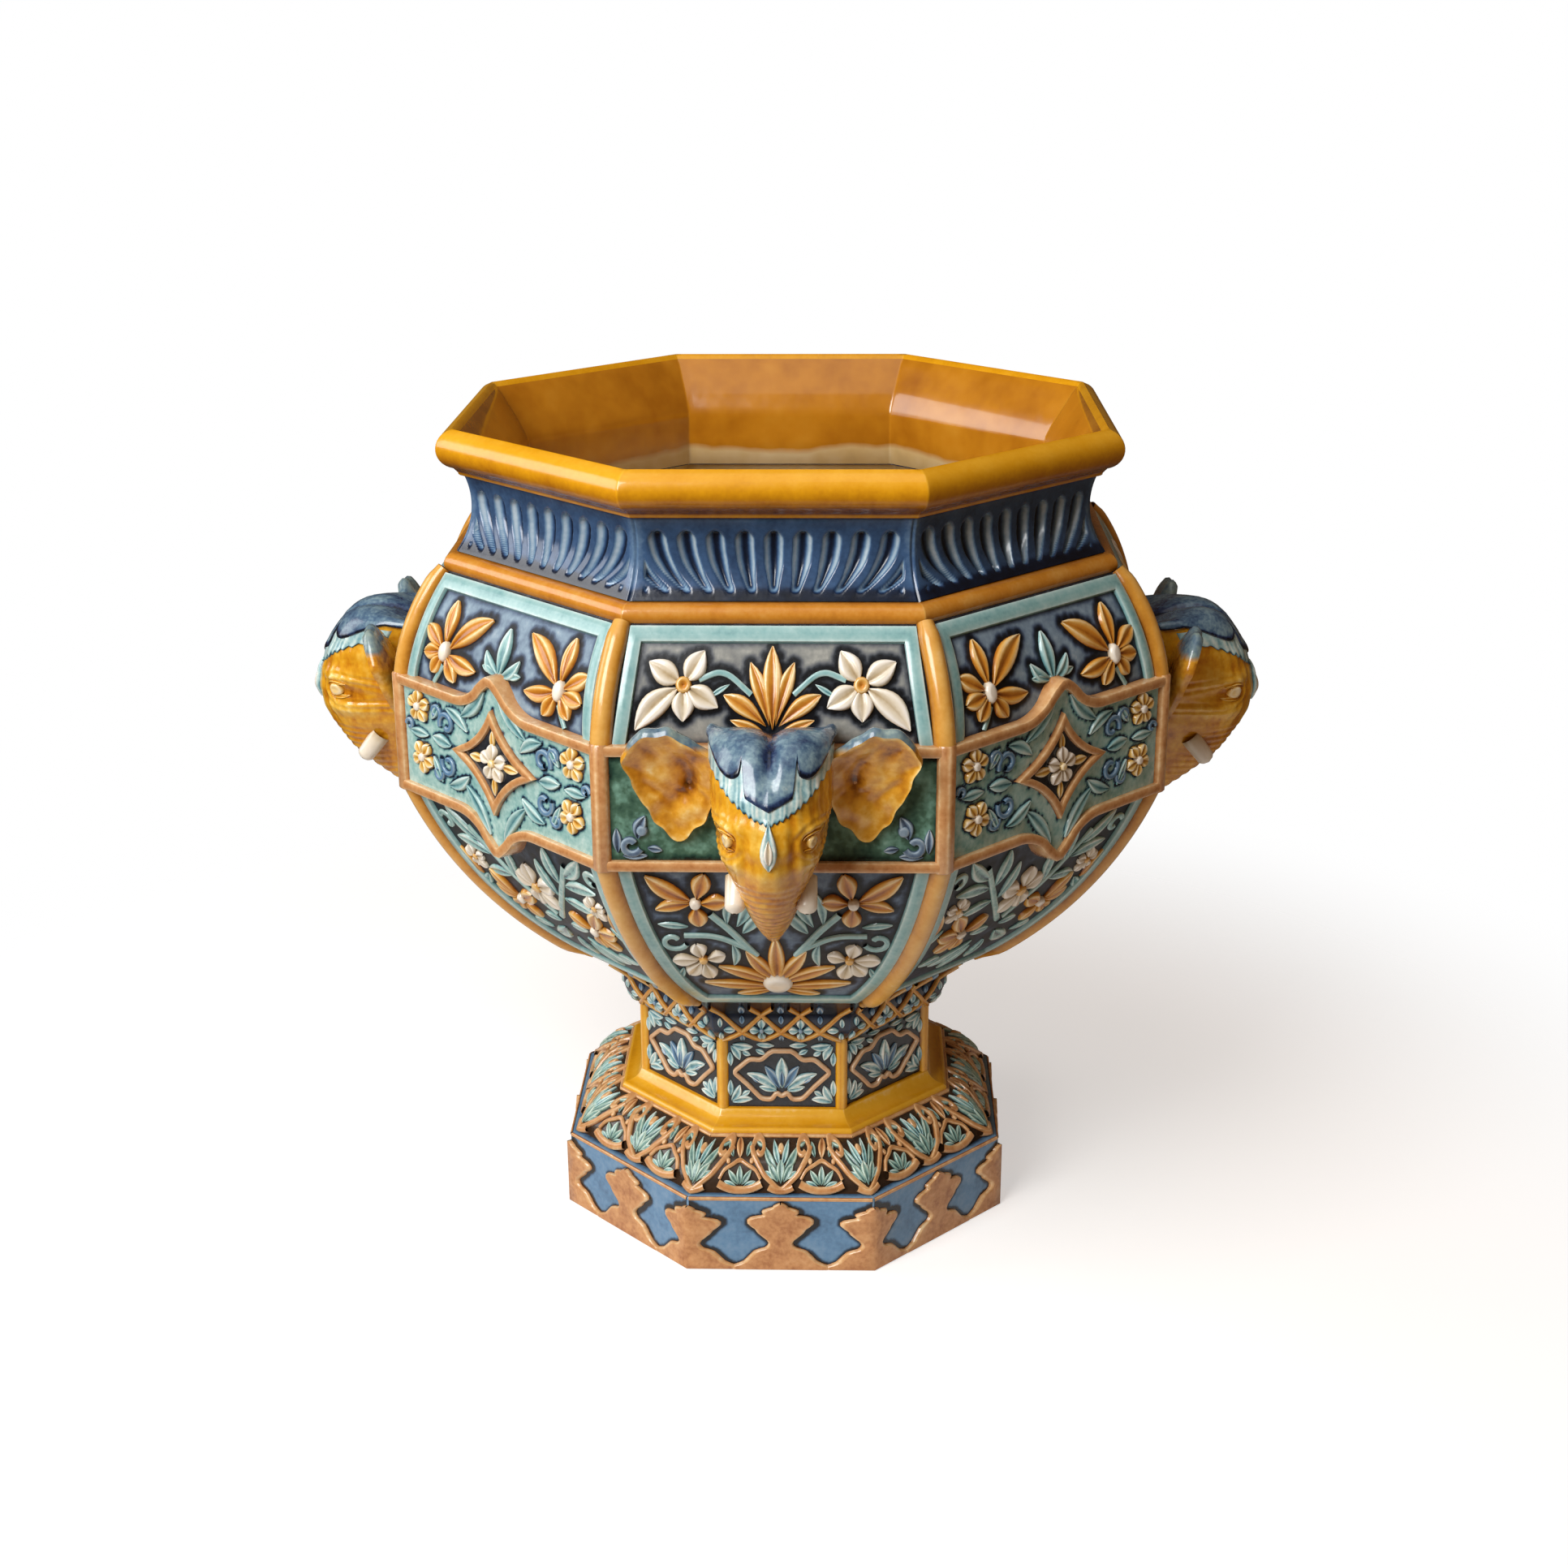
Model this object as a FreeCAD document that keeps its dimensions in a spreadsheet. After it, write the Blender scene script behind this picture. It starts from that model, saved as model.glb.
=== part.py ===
"""Octagonal majolica jardiniere with four elephant heads, as a parametric FreeCAD document.

Millimetres, +Z up, origin on the floor under the middle of the foot. A "face" is the distance from the
axis to a flat of the octagon. One flat faces the front (-Y), and heads stand on the front, right, back
and left flats. Pieces that repeat are drawn on the +X flat and turned about the axis.
"""
import math
import os

import FreeCAD
import Part
import Sketcher

Vector = FreeCAD.Vector

SIZES = {
    # foot
    "plinth_face": 134.5,
    "plinth_height": 48.0,
    "foot_wall": 16.0,
    "cresting_relief": 3.0,
    "cresting_low": 1.0,
    "cresting_height": 45.0,
    "crest_tip_half": 2.0,
    "crest_tip_bulge": 3.0,
    "crest_notch_half": 9.0,
    "crest_notch_level": 35.0,
    "crest_lobe_half": 11.0,
    "crest_lobe_level": 21.0,
    "crest_lobe_bulge": 8.0,
    "crest_valley_level": 6.5,
    "crest_valley_bulge": 6.0,
    "skirt_low_face": 129.0,
    "skirt_top_face": 101.0,
    "skirt_height": 25.0,
    "skirt_wall": 15.0,
    "skirt_bulge": 5.0,
    "scallop_relief": 3.0,
    "scallop_height": 11.0,
    "scallop_gap": 7.0,
    "scallop_notch": 7.0,
    "cavetto_top_face": 90.5,
    "cavetto_height": 11.5,
    "cavetto_hollow": 3.0,
    "stem_face": 88.0,
    "stem_height": 46.5,
    "stem_wall": 14.0,
    "strip_relief": 2.2,
    "strip_width": 7.0,
    "cartouche_relief": 2.2,
    "cartouche_half": 28.0,
    "cartouche_rise": 18.0,
    "cartouche_shoulder_half": 14.0,
    "cartouche_shoulder_rise": 10.0,
    "cartouche_round": 4.0,
    "cartouche_hollow": 1.5,
    "cartouche_band": 3.5,
    "collar_low_face": 89.0,
    "collar_height": 21.6,
    "collar_bulge": 4.0,
    "lattice_relief": 2.2,
    "lattice_pitch": 23.4,
    "lattice_half": 9.6,
    "lattice_rise": 8.5,
    # bowl
    "base_face": 99.4,
    "base_rise": 18.7,
    "panel_low_face": 119.0,
    "lower_height": 144.4,
    "lower_bulge": 12.5,
    "belly_face": 214.5,
    "belt_height": 66.0,
    "shoulder_height": 57.0,
    "shoulder_top_face": 189.5,
    "shoulder_bulge": 4.4,
    "bowl_wall": 13.0,
    "floor_face": 85.0,
    "floor_thickness": 14.0,
    "rib_radius": 6.0,
    "rib_stand": 1.0,
    "frame_relief": 3.0,
    "frame_width": 8.5,
    "frame_clearance": 0.3,
    "frame_top_gap": 3.5,
    "flower_relief": 2.6,
    "petal_root": 3.0,
    "petal_fullness": 0.12,
    # belt
    "belt_face": 218.5,
    "band_relief": 3.2,
    "band_width": 8.5,
    "post_width": 5.0,
    "ogee_half": 36.0,
    "ogee_turn_half": 13.0,
    "ogee_turn_rise": 7.5,
    "ogee_peak_rise": 17.0,
    "ogee_drop": 20.0,
    "ogee_hollow": 2.0,
    "ogee_round": 1.2,
    "ogee_tip_half": 1.5,
    "star_half": 37.5,
    "star_rise": 29.5,
    "star_hollow": 5.0,
    "star_inner_half": 24.0,
    "star_inner_rise": 19.0,
    "star_inner_hollow": 3.0,
    # top
    "ring_inner_face": 168.0,
    "ring_height": 9.5,
    "ring_bulge": 3.6,
    "ring_set_back": 2.0,
    "neck_low_face": 182.3,
    "neck_top_face": 176.2,
    "neck_inner_face": 161.0,
    "neck_height": 39.5,
    "neck_hollow": 6.0,
    "flute_relief": 2.0,
    "flute_low_pitch": 11.2,
    "flute_top_pitch": 15.2,
    "flute_ridge": 2.4,
    "flute_arch": 3.0,
    "flute_margin": 4.0,
    "corner_margin": 1.5,
    "rim_height": 30.5,
    "rim_step": 3.5,
    "rim_step_rise": 4.0,
    "roll_face": 183.0,
    "roll_height": 22.0,
    "roll_bulge": 9.2,
    "mouth_face": 165.0,
    "mouth_rise": 4.0,
    "mouth_round": 1.2,
    # elephant heads
    "cloth_thickness": 2.5,
    "cloth_half": 40.0,
    "cloth_side_rise": 38.0,
    "cloth_point_rise": 18.0,
    "cloth_sag": 3.0,
    "cloth_top_rise": 70.0,
    "ear_thickness": 8.0,
    "ear_dish": 85.0,
    "ear_root_half": 27.0,
    "ear_root_rise": 25.0,
    "ear_top_half": 60.0,
    "ear_top_rise": 46.0,
    "ear_corner_half": 77.0,
    "ear_corner_rise": 31.0,
    "ear_tip_half": 50.0,
    "ear_tip_rise": -20.0,
    "ear_lobe_half": 33.0,
    "ear_lobe_rise": -4.0,
    "ear_round": 4.0,
    "tusk_root": 6.2,
    "tusk_end": 5.2,
    "tusk_length": 27.0,
    "tusk_reach": 24.0,
    "tusk_half": 16.0,
    "tusk_drop": 19.0,
    "tusk_tilt": 30.0,
}
FLUTES = 9
LATTICE_DIAMONDS = 4

# Level sections of an elephant head, top to trunk tip. Each is an ellipse: its rise above the middle of
# the belt, its reach in front of the belt, how deep it is bedded behind the belt, and its half width.
HEAD_SECTIONS = {
    "crown": (54.0, 24.0, 10.0, 10.0),
    "poll": (51.0, 33.5, 12.0, 18.0),
    "brow": (46.0, 42.5, 12.0, 26.0),
    "forehead": (33.0, 53.0, 12.0, 30.0),
    "temple": (15.0, 62.0, 12.0, 29.0),
    "eye": (-2.0, 66.0, 12.0, 26.0),
    "cheek": (-22.0, 60.0, 12.0, 15.5),
    "jaw": (-40.0, 49.5, 14.0, 10.0),
    "trunk": (-55.0, 33.0, 20.0, 8.0),
    "trunk_low": (-68.0, 18.0, 26.0, 6.6),
    "trunk_tip": (-80.0, 4.0, 33.0, 5.0),
}
SECTION_SIZES = ("rise", "reach", "bed", "half")

# Flowers in relief on the panels, by piece. Each has its flats, the place of its heart (across the flat, and
# the rise above the foot of the panel), and its petals as (direction, reach), with directions in degrees,
# counter-clockwise from level. A flower off the middle has a mirrored twin.
FLOWERS = {
    "upper_gold_flowers": {
        "palmette": ("heads", 0.0, 21.0, ((7, 26), (58, 22), (90, 23), (122, 22), (173, 26))),
        "spray": ("stars", 51.5, 18.0, (
            (-51, 16.5), (-9, 19), (29, 20), (87, 25.5), (146, 41), (190, 30), (232, 18.5))),
    },
    "upper_white_flowers": {
        "lotus": ("heads", 46.0, 28.5, ((-88, 18), (-41, 33), (31, 21), (124, 18.5), (211, 21))),
    },
    "upper_lilies": {
        "lily": ("stars", 0.0, 20.8, ((22, 16), (90, 20), (158, 16))),
    },
    "lower_gold_flowers": {
        "half_flower": ("heads", 0.0, 27.0, (
            (-29, 27), (1, 41), (29, 37.5), (63, 37), (90, 45), (117, 37), (151, 37.5), (179, 41), (209, 27))),
        "iris": ("heads", 42.5, 97.2, ((-95, 17.5), (-13, 22.5), (36, 32.5), (105, 21), (177, 17.5))),
        "aster": ("stars", 34.0, 57.7, ((-110, 15), (-36, 17), (11, 21), (50, 19), (155, 19))),
    },
    "lower_white_flowers": {
        "jasmine": ("heads", 40.5, 51.7, ((-100, 19), (-62, 15.5), (-5, 13.5), (75, 13.5), (164, 13))),
        "rosette": ("stars", 0.0, 78.7, ((-54, 17), (18, 17), (90, 17), (162, 17), (234, 17))),
        "daisy": ("stars", 55.0, 82.7, ((-54, 8), (18, 8), (90, 8), (162, 8), (234, 8))),
    },
    "lower_ferns": {
        "fern": ("stars", 36.0, 96.7, ((-4, 27), (39, 31), (110, 20), (230, 29))),
    },
}
HEAD_DIRECTIONS = {"right": 0.0, "back": 90.0, "left": 180.0, "front": 270.0}
FLATS = 8
HEAD_FLATS = 4


class Size:
    """A length, as its number and as the spreadsheet expression that gives it."""

    def __init__(self, value, text):
        self.value = value
        self.text = text

    def __add__(self, other):
        other = as_size(other)
        return Size(self.value + other.value, f"({self.text} + {other.text})")

    def __sub__(self, other):
        other = as_size(other)
        return Size(self.value - other.value, f"({self.text} - {other.text})")

    def __mul__(self, other):
        other = as_size(other)
        return Size(self.value * other.value, f"({self.text} * {other.text})")

    def __truediv__(self, other):
        other = as_size(other)
        return Size(self.value / other.value, f"({self.text} / {other.text})")

    def __neg__(self):
        return Size(-self.value, f"(0 - {self.text})")

    def __rsub__(self, other):
        return as_size(other) - self

    __radd__ = __add__
    __rmul__ = __mul__

    def magnitude(self):
        return Size(abs(self.value), f"abs({self.text})")

    def root(self):
        return Size(math.sqrt(self.value), f"sqrt({self.text})")


def sine(angle):
    return Size(math.sin(math.radians(angle.value)), f"sin({angle.text})")


def cosine(angle):
    return Size(math.cos(math.radians(angle.value)), f"cos({angle.text})")


def as_size(number):
    if isinstance(number, Size):
        return number
    return Size(float(number), f"({float(number)})")


document = FreeCAD.newDocument("jardiniere")
sheet = document.addObject("Spreadsheet::Sheet", "sizes")


def fill_sheet():
    """Put every driving dimension in a named cell and return the named sizes."""
    values = dict(SIZES)
    for section, numbers in HEAD_SECTIONS.items():
        for kind, number in zip(SECTION_SIZES, numbers):
            values[f"{section}_{kind}"] = number
    for flowers in FLOWERS.values():
        for flower, (unused, across, rise, petals) in flowers.items():
            values[f"{flower}_across"] = across
            values[f"{flower}_rise"] = rise
            for place, (turn, reach) in enumerate(petals):
                values[f"{flower}_turn_{place}"] = turn
                values[f"{flower}_reach_{place}"] = reach
    named = {}
    for row, (name, number) in enumerate(values.items(), start=1):
        sheet.set(f"A{row}", name)
        sheet.set(f"B{row}", str(number))
        sheet.setAlias(f"B{row}", name)
        named[name] = Size(number, f"sizes.{name}")
    document.recompute()
    return named


sizes = fill_sheet()

# Half the side of the octagon, and its corner distance, for a face distance of one.
HALF_SIDE = Size(math.tan(math.pi / FLATS), "tan(22.5)")
CORNER = Size(1 / math.cos(math.pi / FLATS), "(1 / cos(22.5))")
CORNER_TURN = 180.0 / FLATS
# How far cutting shapes run past what they cut.
OVERRUN = 2.0

PLINTH_TOP = sizes["plinth_height"]
SKIRT_TOP = PLINTH_TOP + sizes["skirt_height"]
CAVETTO_TOP = SKIRT_TOP + sizes["cavetto_height"]
STEM_TOP = CAVETTO_TOP + sizes["stem_height"]
COLLAR_TOP = STEM_TOP + sizes["collar_height"]
PANEL_LOW = COLLAR_TOP + sizes["base_rise"]
FLOOR_TOP = COLLAR_TOP + sizes["floor_thickness"]
BELT_LOW = COLLAR_TOP + sizes["lower_height"]
BELT_MIDDLE = BELT_LOW + sizes["belt_height"] / 2
BELT_TOP = BELT_LOW + sizes["belt_height"]
SHOULDER_TOP = BELT_TOP + sizes["shoulder_height"]
RING_TOP = SHOULDER_TOP + sizes["ring_height"]
NECK_TOP = RING_TOP + sizes["neck_height"]
RIM_TOP = NECK_TOP + sizes["rim_height"]

# The curved walls above and below the belt, as (low face, low level, high face, high level, bulge).
UPPER_WALL = (sizes["belly_face"], BELT_TOP, sizes["shoulder_top_face"], SHOULDER_TOP, sizes["shoulder_bulge"])
LOWER_WALL = (sizes["panel_low_face"], PANEL_LOW, sizes["belly_face"], BELT_LOW, sizes["lower_bulge"])

nodes = {}


def bind(feature, path, size):
    feature.setExpression(path, as_size(size).text)


def new_body(name):
    body = document.addObject("PartDesign::Body", name)
    body.AllowCompound = True
    return body


def origin_feature(body, role):
    return next(feature for feature in body.Origin.OriginFeatures if feature.Role == role)


def plane_sketch(body, plane, lift=None):
    """A sketch on an origin plane of the body, lifted along its normal when asked."""
    sketch = body.newObject("Sketcher::SketchObject", f"{body.Name}_outline")
    sketch.AttachmentSupport = [(origin_feature(body, plane), "")]
    sketch.MapMode = "FlatFace"
    if lift is not None:
        bind(sketch, "AttachmentOffset.Base.z", lift)
    return sketch


def edge_geometry(start, end, bulge):
    """A straight edge, or an arc that bows out to the right by the bulge, and its end positions."""
    first = Vector(start[0].value, start[1].value, 0)
    last = Vector(end[0].value, end[1].value, 0)
    if bulge is None:
        return Part.LineSegment(first, last), 1, 2, None
    across = end[0] - start[0]
    along = end[1] - start[1]
    sag = bulge.magnitude()
    radius = (across * across + along * along) / (8 * sag) + sag / 2
    side = 1 if bulge.value > 0 else -1
    chord = last - first
    left = Vector(-chord.y, chord.x, 0).normalize()
    centre = (first + last) / 2 + left * (side * (radius.value - sag.value))
    circle = Part.Circle(centre, Vector(0, 0, 1), radius.value)
    begin = math.atan2(first.y - centre.y, first.x - centre.x)
    finish = math.atan2(last.y - centre.y, last.x - centre.x)
    if side > 0:
        return Part.ArcOfCircle(circle, begin, finish), 1, 2, radius
    return Part.ArcOfCircle(circle, finish, begin), 2, 1, radius


def place_point(edge, position, axis, size):
    """The constraint that sets one coordinate of a corner from the origin, and its expression."""
    kind, line = ("DistanceX", -2) if axis == 0 else ("DistanceY", -1)
    if abs(size.value) < 1e-9:
        return Sketcher.Constraint("PointOnObject", edge, position, line), None
    if size.value > 0:
        return Sketcher.Constraint(kind, -1, 1, edge, position, size.value), size.text
    return Sketcher.Constraint(kind, edge, position, -1, 1, -size.value), f"-({size.text})"


def trace(sketch, points):
    """Draw a closed outline counter-clockwise through (across, up) or (across, up, bulge) points.

    The bulge is how far the edge that arrives at the point bows outward, and is negative for a hollow.
    """
    corners = [tuple(as_size(number) for number in point) for point in points]
    count = len(corners)
    constraints = []
    texts = []
    ends = []
    for place in range(count):
        start = corners[place]
        end = corners[(place + 1) % count]
        bulge = end[2] if len(end) > 2 else None
        geometry, head, tail, radius = edge_geometry(start, end, bulge)
        edge = sketch.addGeometry(geometry, False)
        ends.append((edge, head, tail))
        for axis in (0, 1):
            constraint, text = place_point(edge, head, axis, start[axis])
            constraints.append(constraint)
            texts.append(text)
        if radius is not None:
            constraints.append(Sketcher.Constraint("Radius", edge, radius.value))
            texts.append(radius.text)
    for place in range(count):
        edge, head, tail = ends[place]
        following, following_head, unused = ends[(place + 1) % count]
        constraints.append(Sketcher.Constraint("Coincident", edge, tail, following, following_head))
        texts.append(None)
    first_constraint = sketch.ConstraintCount
    sketch.addConstraint(constraints)
    for offset, text in enumerate(texts):
        if text is not None:
            sketch.setExpression(f"Constraints[{first_constraint + offset}]", text)


def mirrored(points):
    """The outline on the other side of the upright axis, still counter-clockwise."""
    flipped = []
    count = len(points)
    for place in range(count):
        source = points[-place - 1]
        arriving = points[(count - place) % count]
        bulge = arriving[2:3]
        flipped.append((-as_size(source[0]), source[1]) + tuple(bulge))
    return flipped


def octagon(face):
    """Corners of an octagon with a flat square to +X, beginning in the middle of that flat."""
    half = face * HALF_SIDE
    return [
        (face, 0), (face, half), (half, face), (-half, face), (-face, half),
        (-face, -half), (-half, -face), (half, -face), (face, -half),
    ]


def pad(body, sketch, length, midplane=False):
    feature = body.newObject("PartDesign::Pad", f"{body.Name}_pad")
    feature.Profile = sketch
    bind(feature, "Length", length)
    feature.Midplane = midplane
    return feature


def pocket(body, sketch):
    """Cut the outline right through, both ways from its plane."""
    feature = body.newObject("PartDesign::Pocket", f"{body.Name}_pocket")
    feature.Profile = sketch
    feature.Type = "ThroughAll"
    feature.Midplane = True
    return feature


def turn_about_axis(body, count, feature=None):
    """Repeat one feature, or without one the whole shape, evenly about the pot's axis."""
    pattern = body.newObject("PartDesign::PolarPattern", f"{body.Name}_turn")
    if feature is None:
        pattern.TransformMode = "Whole shape"
    else:
        pattern.Originals = [feature]
    pattern.Axis = (origin_feature(body, "Z_Axis"), [""])
    pattern.Angle = 360
    pattern.Occurrences = count
    body.Tip = pattern
    return pattern


def mitred_ring(name, section):
    """A moulding with this section on the +X flat, carried round the octagon with mitred corners."""
    body = new_body(name)
    spine = plane_sketch(body, "XY_Plane")
    trace(spine, octagon(as_size(section[0][0])))
    profile = plane_sketch(body, "XZ_Plane")
    trace(profile, section)
    document.recompute()
    pipe = body.newObject("PartDesign::AdditivePipe", f"{name}_pipe")
    pipe.Profile = profile
    pipe.Spine = (spine, [])
    pipe.Transition = "Right corner"
    body.Tip = pipe
    return body


def cut(name, base, *tools):
    """The base with each tool taken away in turn."""
    for tool in tools:
        feature = document.addObject("Part::Cut", name)
        feature.Base = base
        feature.Tool = tool
        feature.Refine = False
        base = feature
    return base


def common(name, base, tool):
    feature = document.addObject("Part::Common", name)
    feature.Base = base
    feature.Tool = tool
    feature.Refine = False
    return feature


def turned(angle):
    """A turn about the pot's axis, in degrees."""
    return FreeCAD.Placement(Vector(), FreeCAD.Rotation(Vector(0, 0, 1), angle))


def group(name, pieces, turn=0.0):
    """Separate solids in one piece of the model, turned about the axis."""
    feature = document.addObject("Part::Compound", name)
    feature.Links = pieces
    feature.Placement = turned(turn)
    return feature


def keep(label, feature):
    feature.Label = label
    nodes[label] = feature
    return feature


def make_foot():
    """The hollow foot: plinth, scalloped skirt, cavetto, octagonal stem and bulging collar."""
    plinth_inner = sizes["plinth_face"] - sizes["foot_wall"]
    keep("plinth", mitred_ring("plinth", [
        (plinth_inner, 0), (sizes["plinth_face"], 0),
        (sizes["plinth_face"], PLINTH_TOP), (plinth_inner, PLINTH_TOP),
    ]))

    skirt = mitred_ring("foot_skirt", [
        (sizes["skirt_low_face"] - sizes["skirt_wall"], PLINTH_TOP),
        (sizes["skirt_low_face"], PLINTH_TOP),
        (sizes["skirt_top_face"], SKIRT_TOP, sizes["skirt_bulge"]),
        (sizes["skirt_top_face"] - sizes["skirt_wall"], SKIRT_TOP),
    ])
    keep("foot_skirt", skirt)

    stem_inner = sizes["stem_face"] - sizes["stem_wall"]
    keep("stem_cavetto", mitred_ring("stem_cavetto", [
        (stem_inner, SKIRT_TOP), (sizes["skirt_top_face"], SKIRT_TOP),
        (sizes["cavetto_top_face"], CAVETTO_TOP, -sizes["cavetto_hollow"]), (stem_inner, CAVETTO_TOP),
    ]))
    keep("stem", mitred_ring("stem", [
        (stem_inner, CAVETTO_TOP), (sizes["stem_face"], CAVETTO_TOP),
        (sizes["stem_face"], STEM_TOP), (stem_inner, STEM_TOP),
    ]))
    keep("lattice_collar", mitred_ring("lattice_collar", [
        (stem_inner, STEM_TOP), (sizes["collar_low_face"], STEM_TOP),
        (sizes["base_face"], COLLAR_TOP, sizes["collar_bulge"]), (stem_inner, COLLAR_TOP),
    ]))
    return skirt


def make_cresting():
    """Trefoil relief round the plinth: one trefoil on each flat and one folded over each corner."""
    face = sizes["plinth_face"]
    outer = face + sizes["cresting_relief"]
    pitch = face * HALF_SIDE
    body = new_body("plinth_cresting")
    plate = plane_sketch(body, "XY_Plane", sizes["cresting_low"])
    trace(plate, [
        (face, -pitch), (outer, -(outer * HALF_SIDE)), (outer, outer * HALF_SIDE), (face, pitch),
    ])
    pad(body, plate, sizes["cresting_height"] - sizes["cresting_low"])
    top = sizes["cresting_height"] + OVERRUN
    gap = [
        (pitch / 2, sizes["crest_valley_level"], sizes["crest_valley_bulge"]),
        (pitch - sizes["crest_lobe_half"], sizes["crest_lobe_level"], sizes["crest_valley_bulge"]),
        (pitch - sizes["crest_notch_half"], sizes["crest_notch_level"], -sizes["crest_lobe_bulge"]),
        (pitch - sizes["crest_tip_half"], top, -sizes["crest_tip_bulge"]),
        (sizes["crest_tip_half"], top),
        (sizes["crest_notch_half"], sizes["crest_notch_level"], -sizes["crest_tip_bulge"]),
        (sizes["crest_lobe_half"], sizes["crest_lobe_level"], -sizes["crest_lobe_bulge"]),
    ]
    gaps = plane_sketch(body, "YZ_Plane")
    trace(gaps, gap)
    trace(gaps, mirrored(gap))
    document.recompute()
    pocket(body, gaps)
    document.recompute()
    turn_about_axis(body, FLATS)
    keep("plinth_cresting", body)


def make_scallops(skirt):
    """The lobed edge of the skirt: a thicker lip with notches between its lobes."""
    low = sizes["skirt_low_face"]
    lip = low + sizes["scallop_relief"]
    slope = (sizes["skirt_low_face"] - sizes["skirt_top_face"]) / sizes["skirt_height"]
    lip_top = PLINTH_TOP + sizes["scallop_height"]
    body = mitred_ring("scallop_lip", [
        (low - sizes["skirt_wall"] / 2, PLINTH_TOP), (lip, PLINTH_TOP),
        (lip - sizes["scallop_height"] * slope / 2, lip_top, sizes["scallop_relief"]),
        (low - sizes["skirt_wall"] / 2, lip_top),
    ])
    sketch = plane_sketch(body, "YZ_Plane")
    pitch = low * HALF_SIDE / 4
    for step in (-3, -1, 1, 3):
        middle = pitch * step
        half = sizes["scallop_gap"] / 2
        trace(sketch, [
            (middle - half, PLINTH_TOP - OVERRUN), (middle + half, PLINTH_TOP - OVERRUN),
            (middle, PLINTH_TOP + sizes["scallop_notch"]),
        ])
    document.recompute()
    turn_about_axis(body, FLATS, pocket(body, sketch))
    keep("skirt_scallops", cut("skirt_scallops", body, skirt))


def make_stem_ornament():
    """Corner strips and ogee cartouches on the stem, and the lattice on the collar."""
    face = sizes["stem_face"]
    strips = mitred_ring("stem_corner_strips", [
        (face, CAVETTO_TOP), (face + sizes["strip_relief"], CAVETTO_TOP),
        (face + sizes["strip_relief"], STEM_TOP), (face, STEM_TOP),
    ])
    open_half = face * HALF_SIDE - sizes["strip_width"]
    gap = plane_sketch(strips, "YZ_Plane")
    trace(gap, [
        (-open_half, CAVETTO_TOP - OVERRUN), (open_half, CAVETTO_TOP - OVERRUN),
        (open_half, STEM_TOP + OVERRUN), (-open_half, STEM_TOP + OVERRUN),
    ])
    document.recompute()
    turn_about_axis(strips, FLATS, pocket(strips, gap))
    keep("stem_corner_strips", strips)

    middle = CAVETTO_TOP + sizes["stem_height"] / 2
    cartouches = new_body("stem_cartouches")
    sketch = plane_sketch(cartouches, "YZ_Plane", face)
    trace(sketch, cartouche(middle, as_size(0)))
    trace(sketch, cartouche(middle, sizes["cartouche_band"]))
    pad(cartouches, sketch, sizes["cartouche_relief"])
    document.recompute()
    turn_about_axis(cartouches, FLATS)
    keep("stem_cartouches", cartouches)

    relief = sizes["lattice_relief"]
    lattice = new_body("collar_lattice")
    skin = plane_sketch(lattice, "XZ_Plane")
    trace(skin, [
        (sizes["collar_low_face"], STEM_TOP, -sizes["collar_bulge"]),
        (sizes["collar_low_face"] + relief, STEM_TOP),
        (sizes["base_face"] + relief, COLLAR_TOP, sizes["collar_bulge"]),
        (sizes["base_face"], COLLAR_TOP),
    ])
    skin_half = sizes["collar_low_face"] * HALF_SIDE - sizes["corner_margin"]
    pad(lattice, skin, 2 * skin_half, midplane=True)
    diamonds = plane_sketch(lattice, "YZ_Plane")
    level = STEM_TOP + sizes["collar_height"] / 2
    for step in range(LATTICE_DIAMONDS):
        across = sizes["lattice_pitch"] * (step - (LATTICE_DIAMONDS - 1) / 2)
        trace(diamonds, [
            (across, level - sizes["lattice_rise"]), (across + sizes["lattice_half"], level),
            (across, level + sizes["lattice_rise"]), (across - sizes["lattice_half"], level),
        ])
    document.recompute()
    pocket(lattice, diamonds)
    document.recompute()
    turn_about_axis(lattice, FLATS)
    keep("collar_lattice", lattice)


def cartouche(middle, inset):
    """A pointed ogee frame, drawn in by the inset on every side."""
    half = sizes["cartouche_half"] - inset
    rise = sizes["cartouche_rise"] - inset
    shoulder = sizes["cartouche_shoulder_half"] - inset / 2
    shoulder_rise = sizes["cartouche_shoulder_rise"] - inset / 2
    rounding = sizes["cartouche_round"]
    hollow = -sizes["cartouche_hollow"]
    return [
        (half, middle, rounding),
        (shoulder, middle + shoulder_rise, rounding),
        (0, middle + rise, hollow),
        (-shoulder, middle + shoulder_rise, hollow),
        (-half, middle, rounding),
        (-shoulder, middle - shoulder_rise, rounding),
        (0, middle - rise, hollow),
        (shoulder, middle - shoulder_rise, hollow),
    ]


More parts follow.
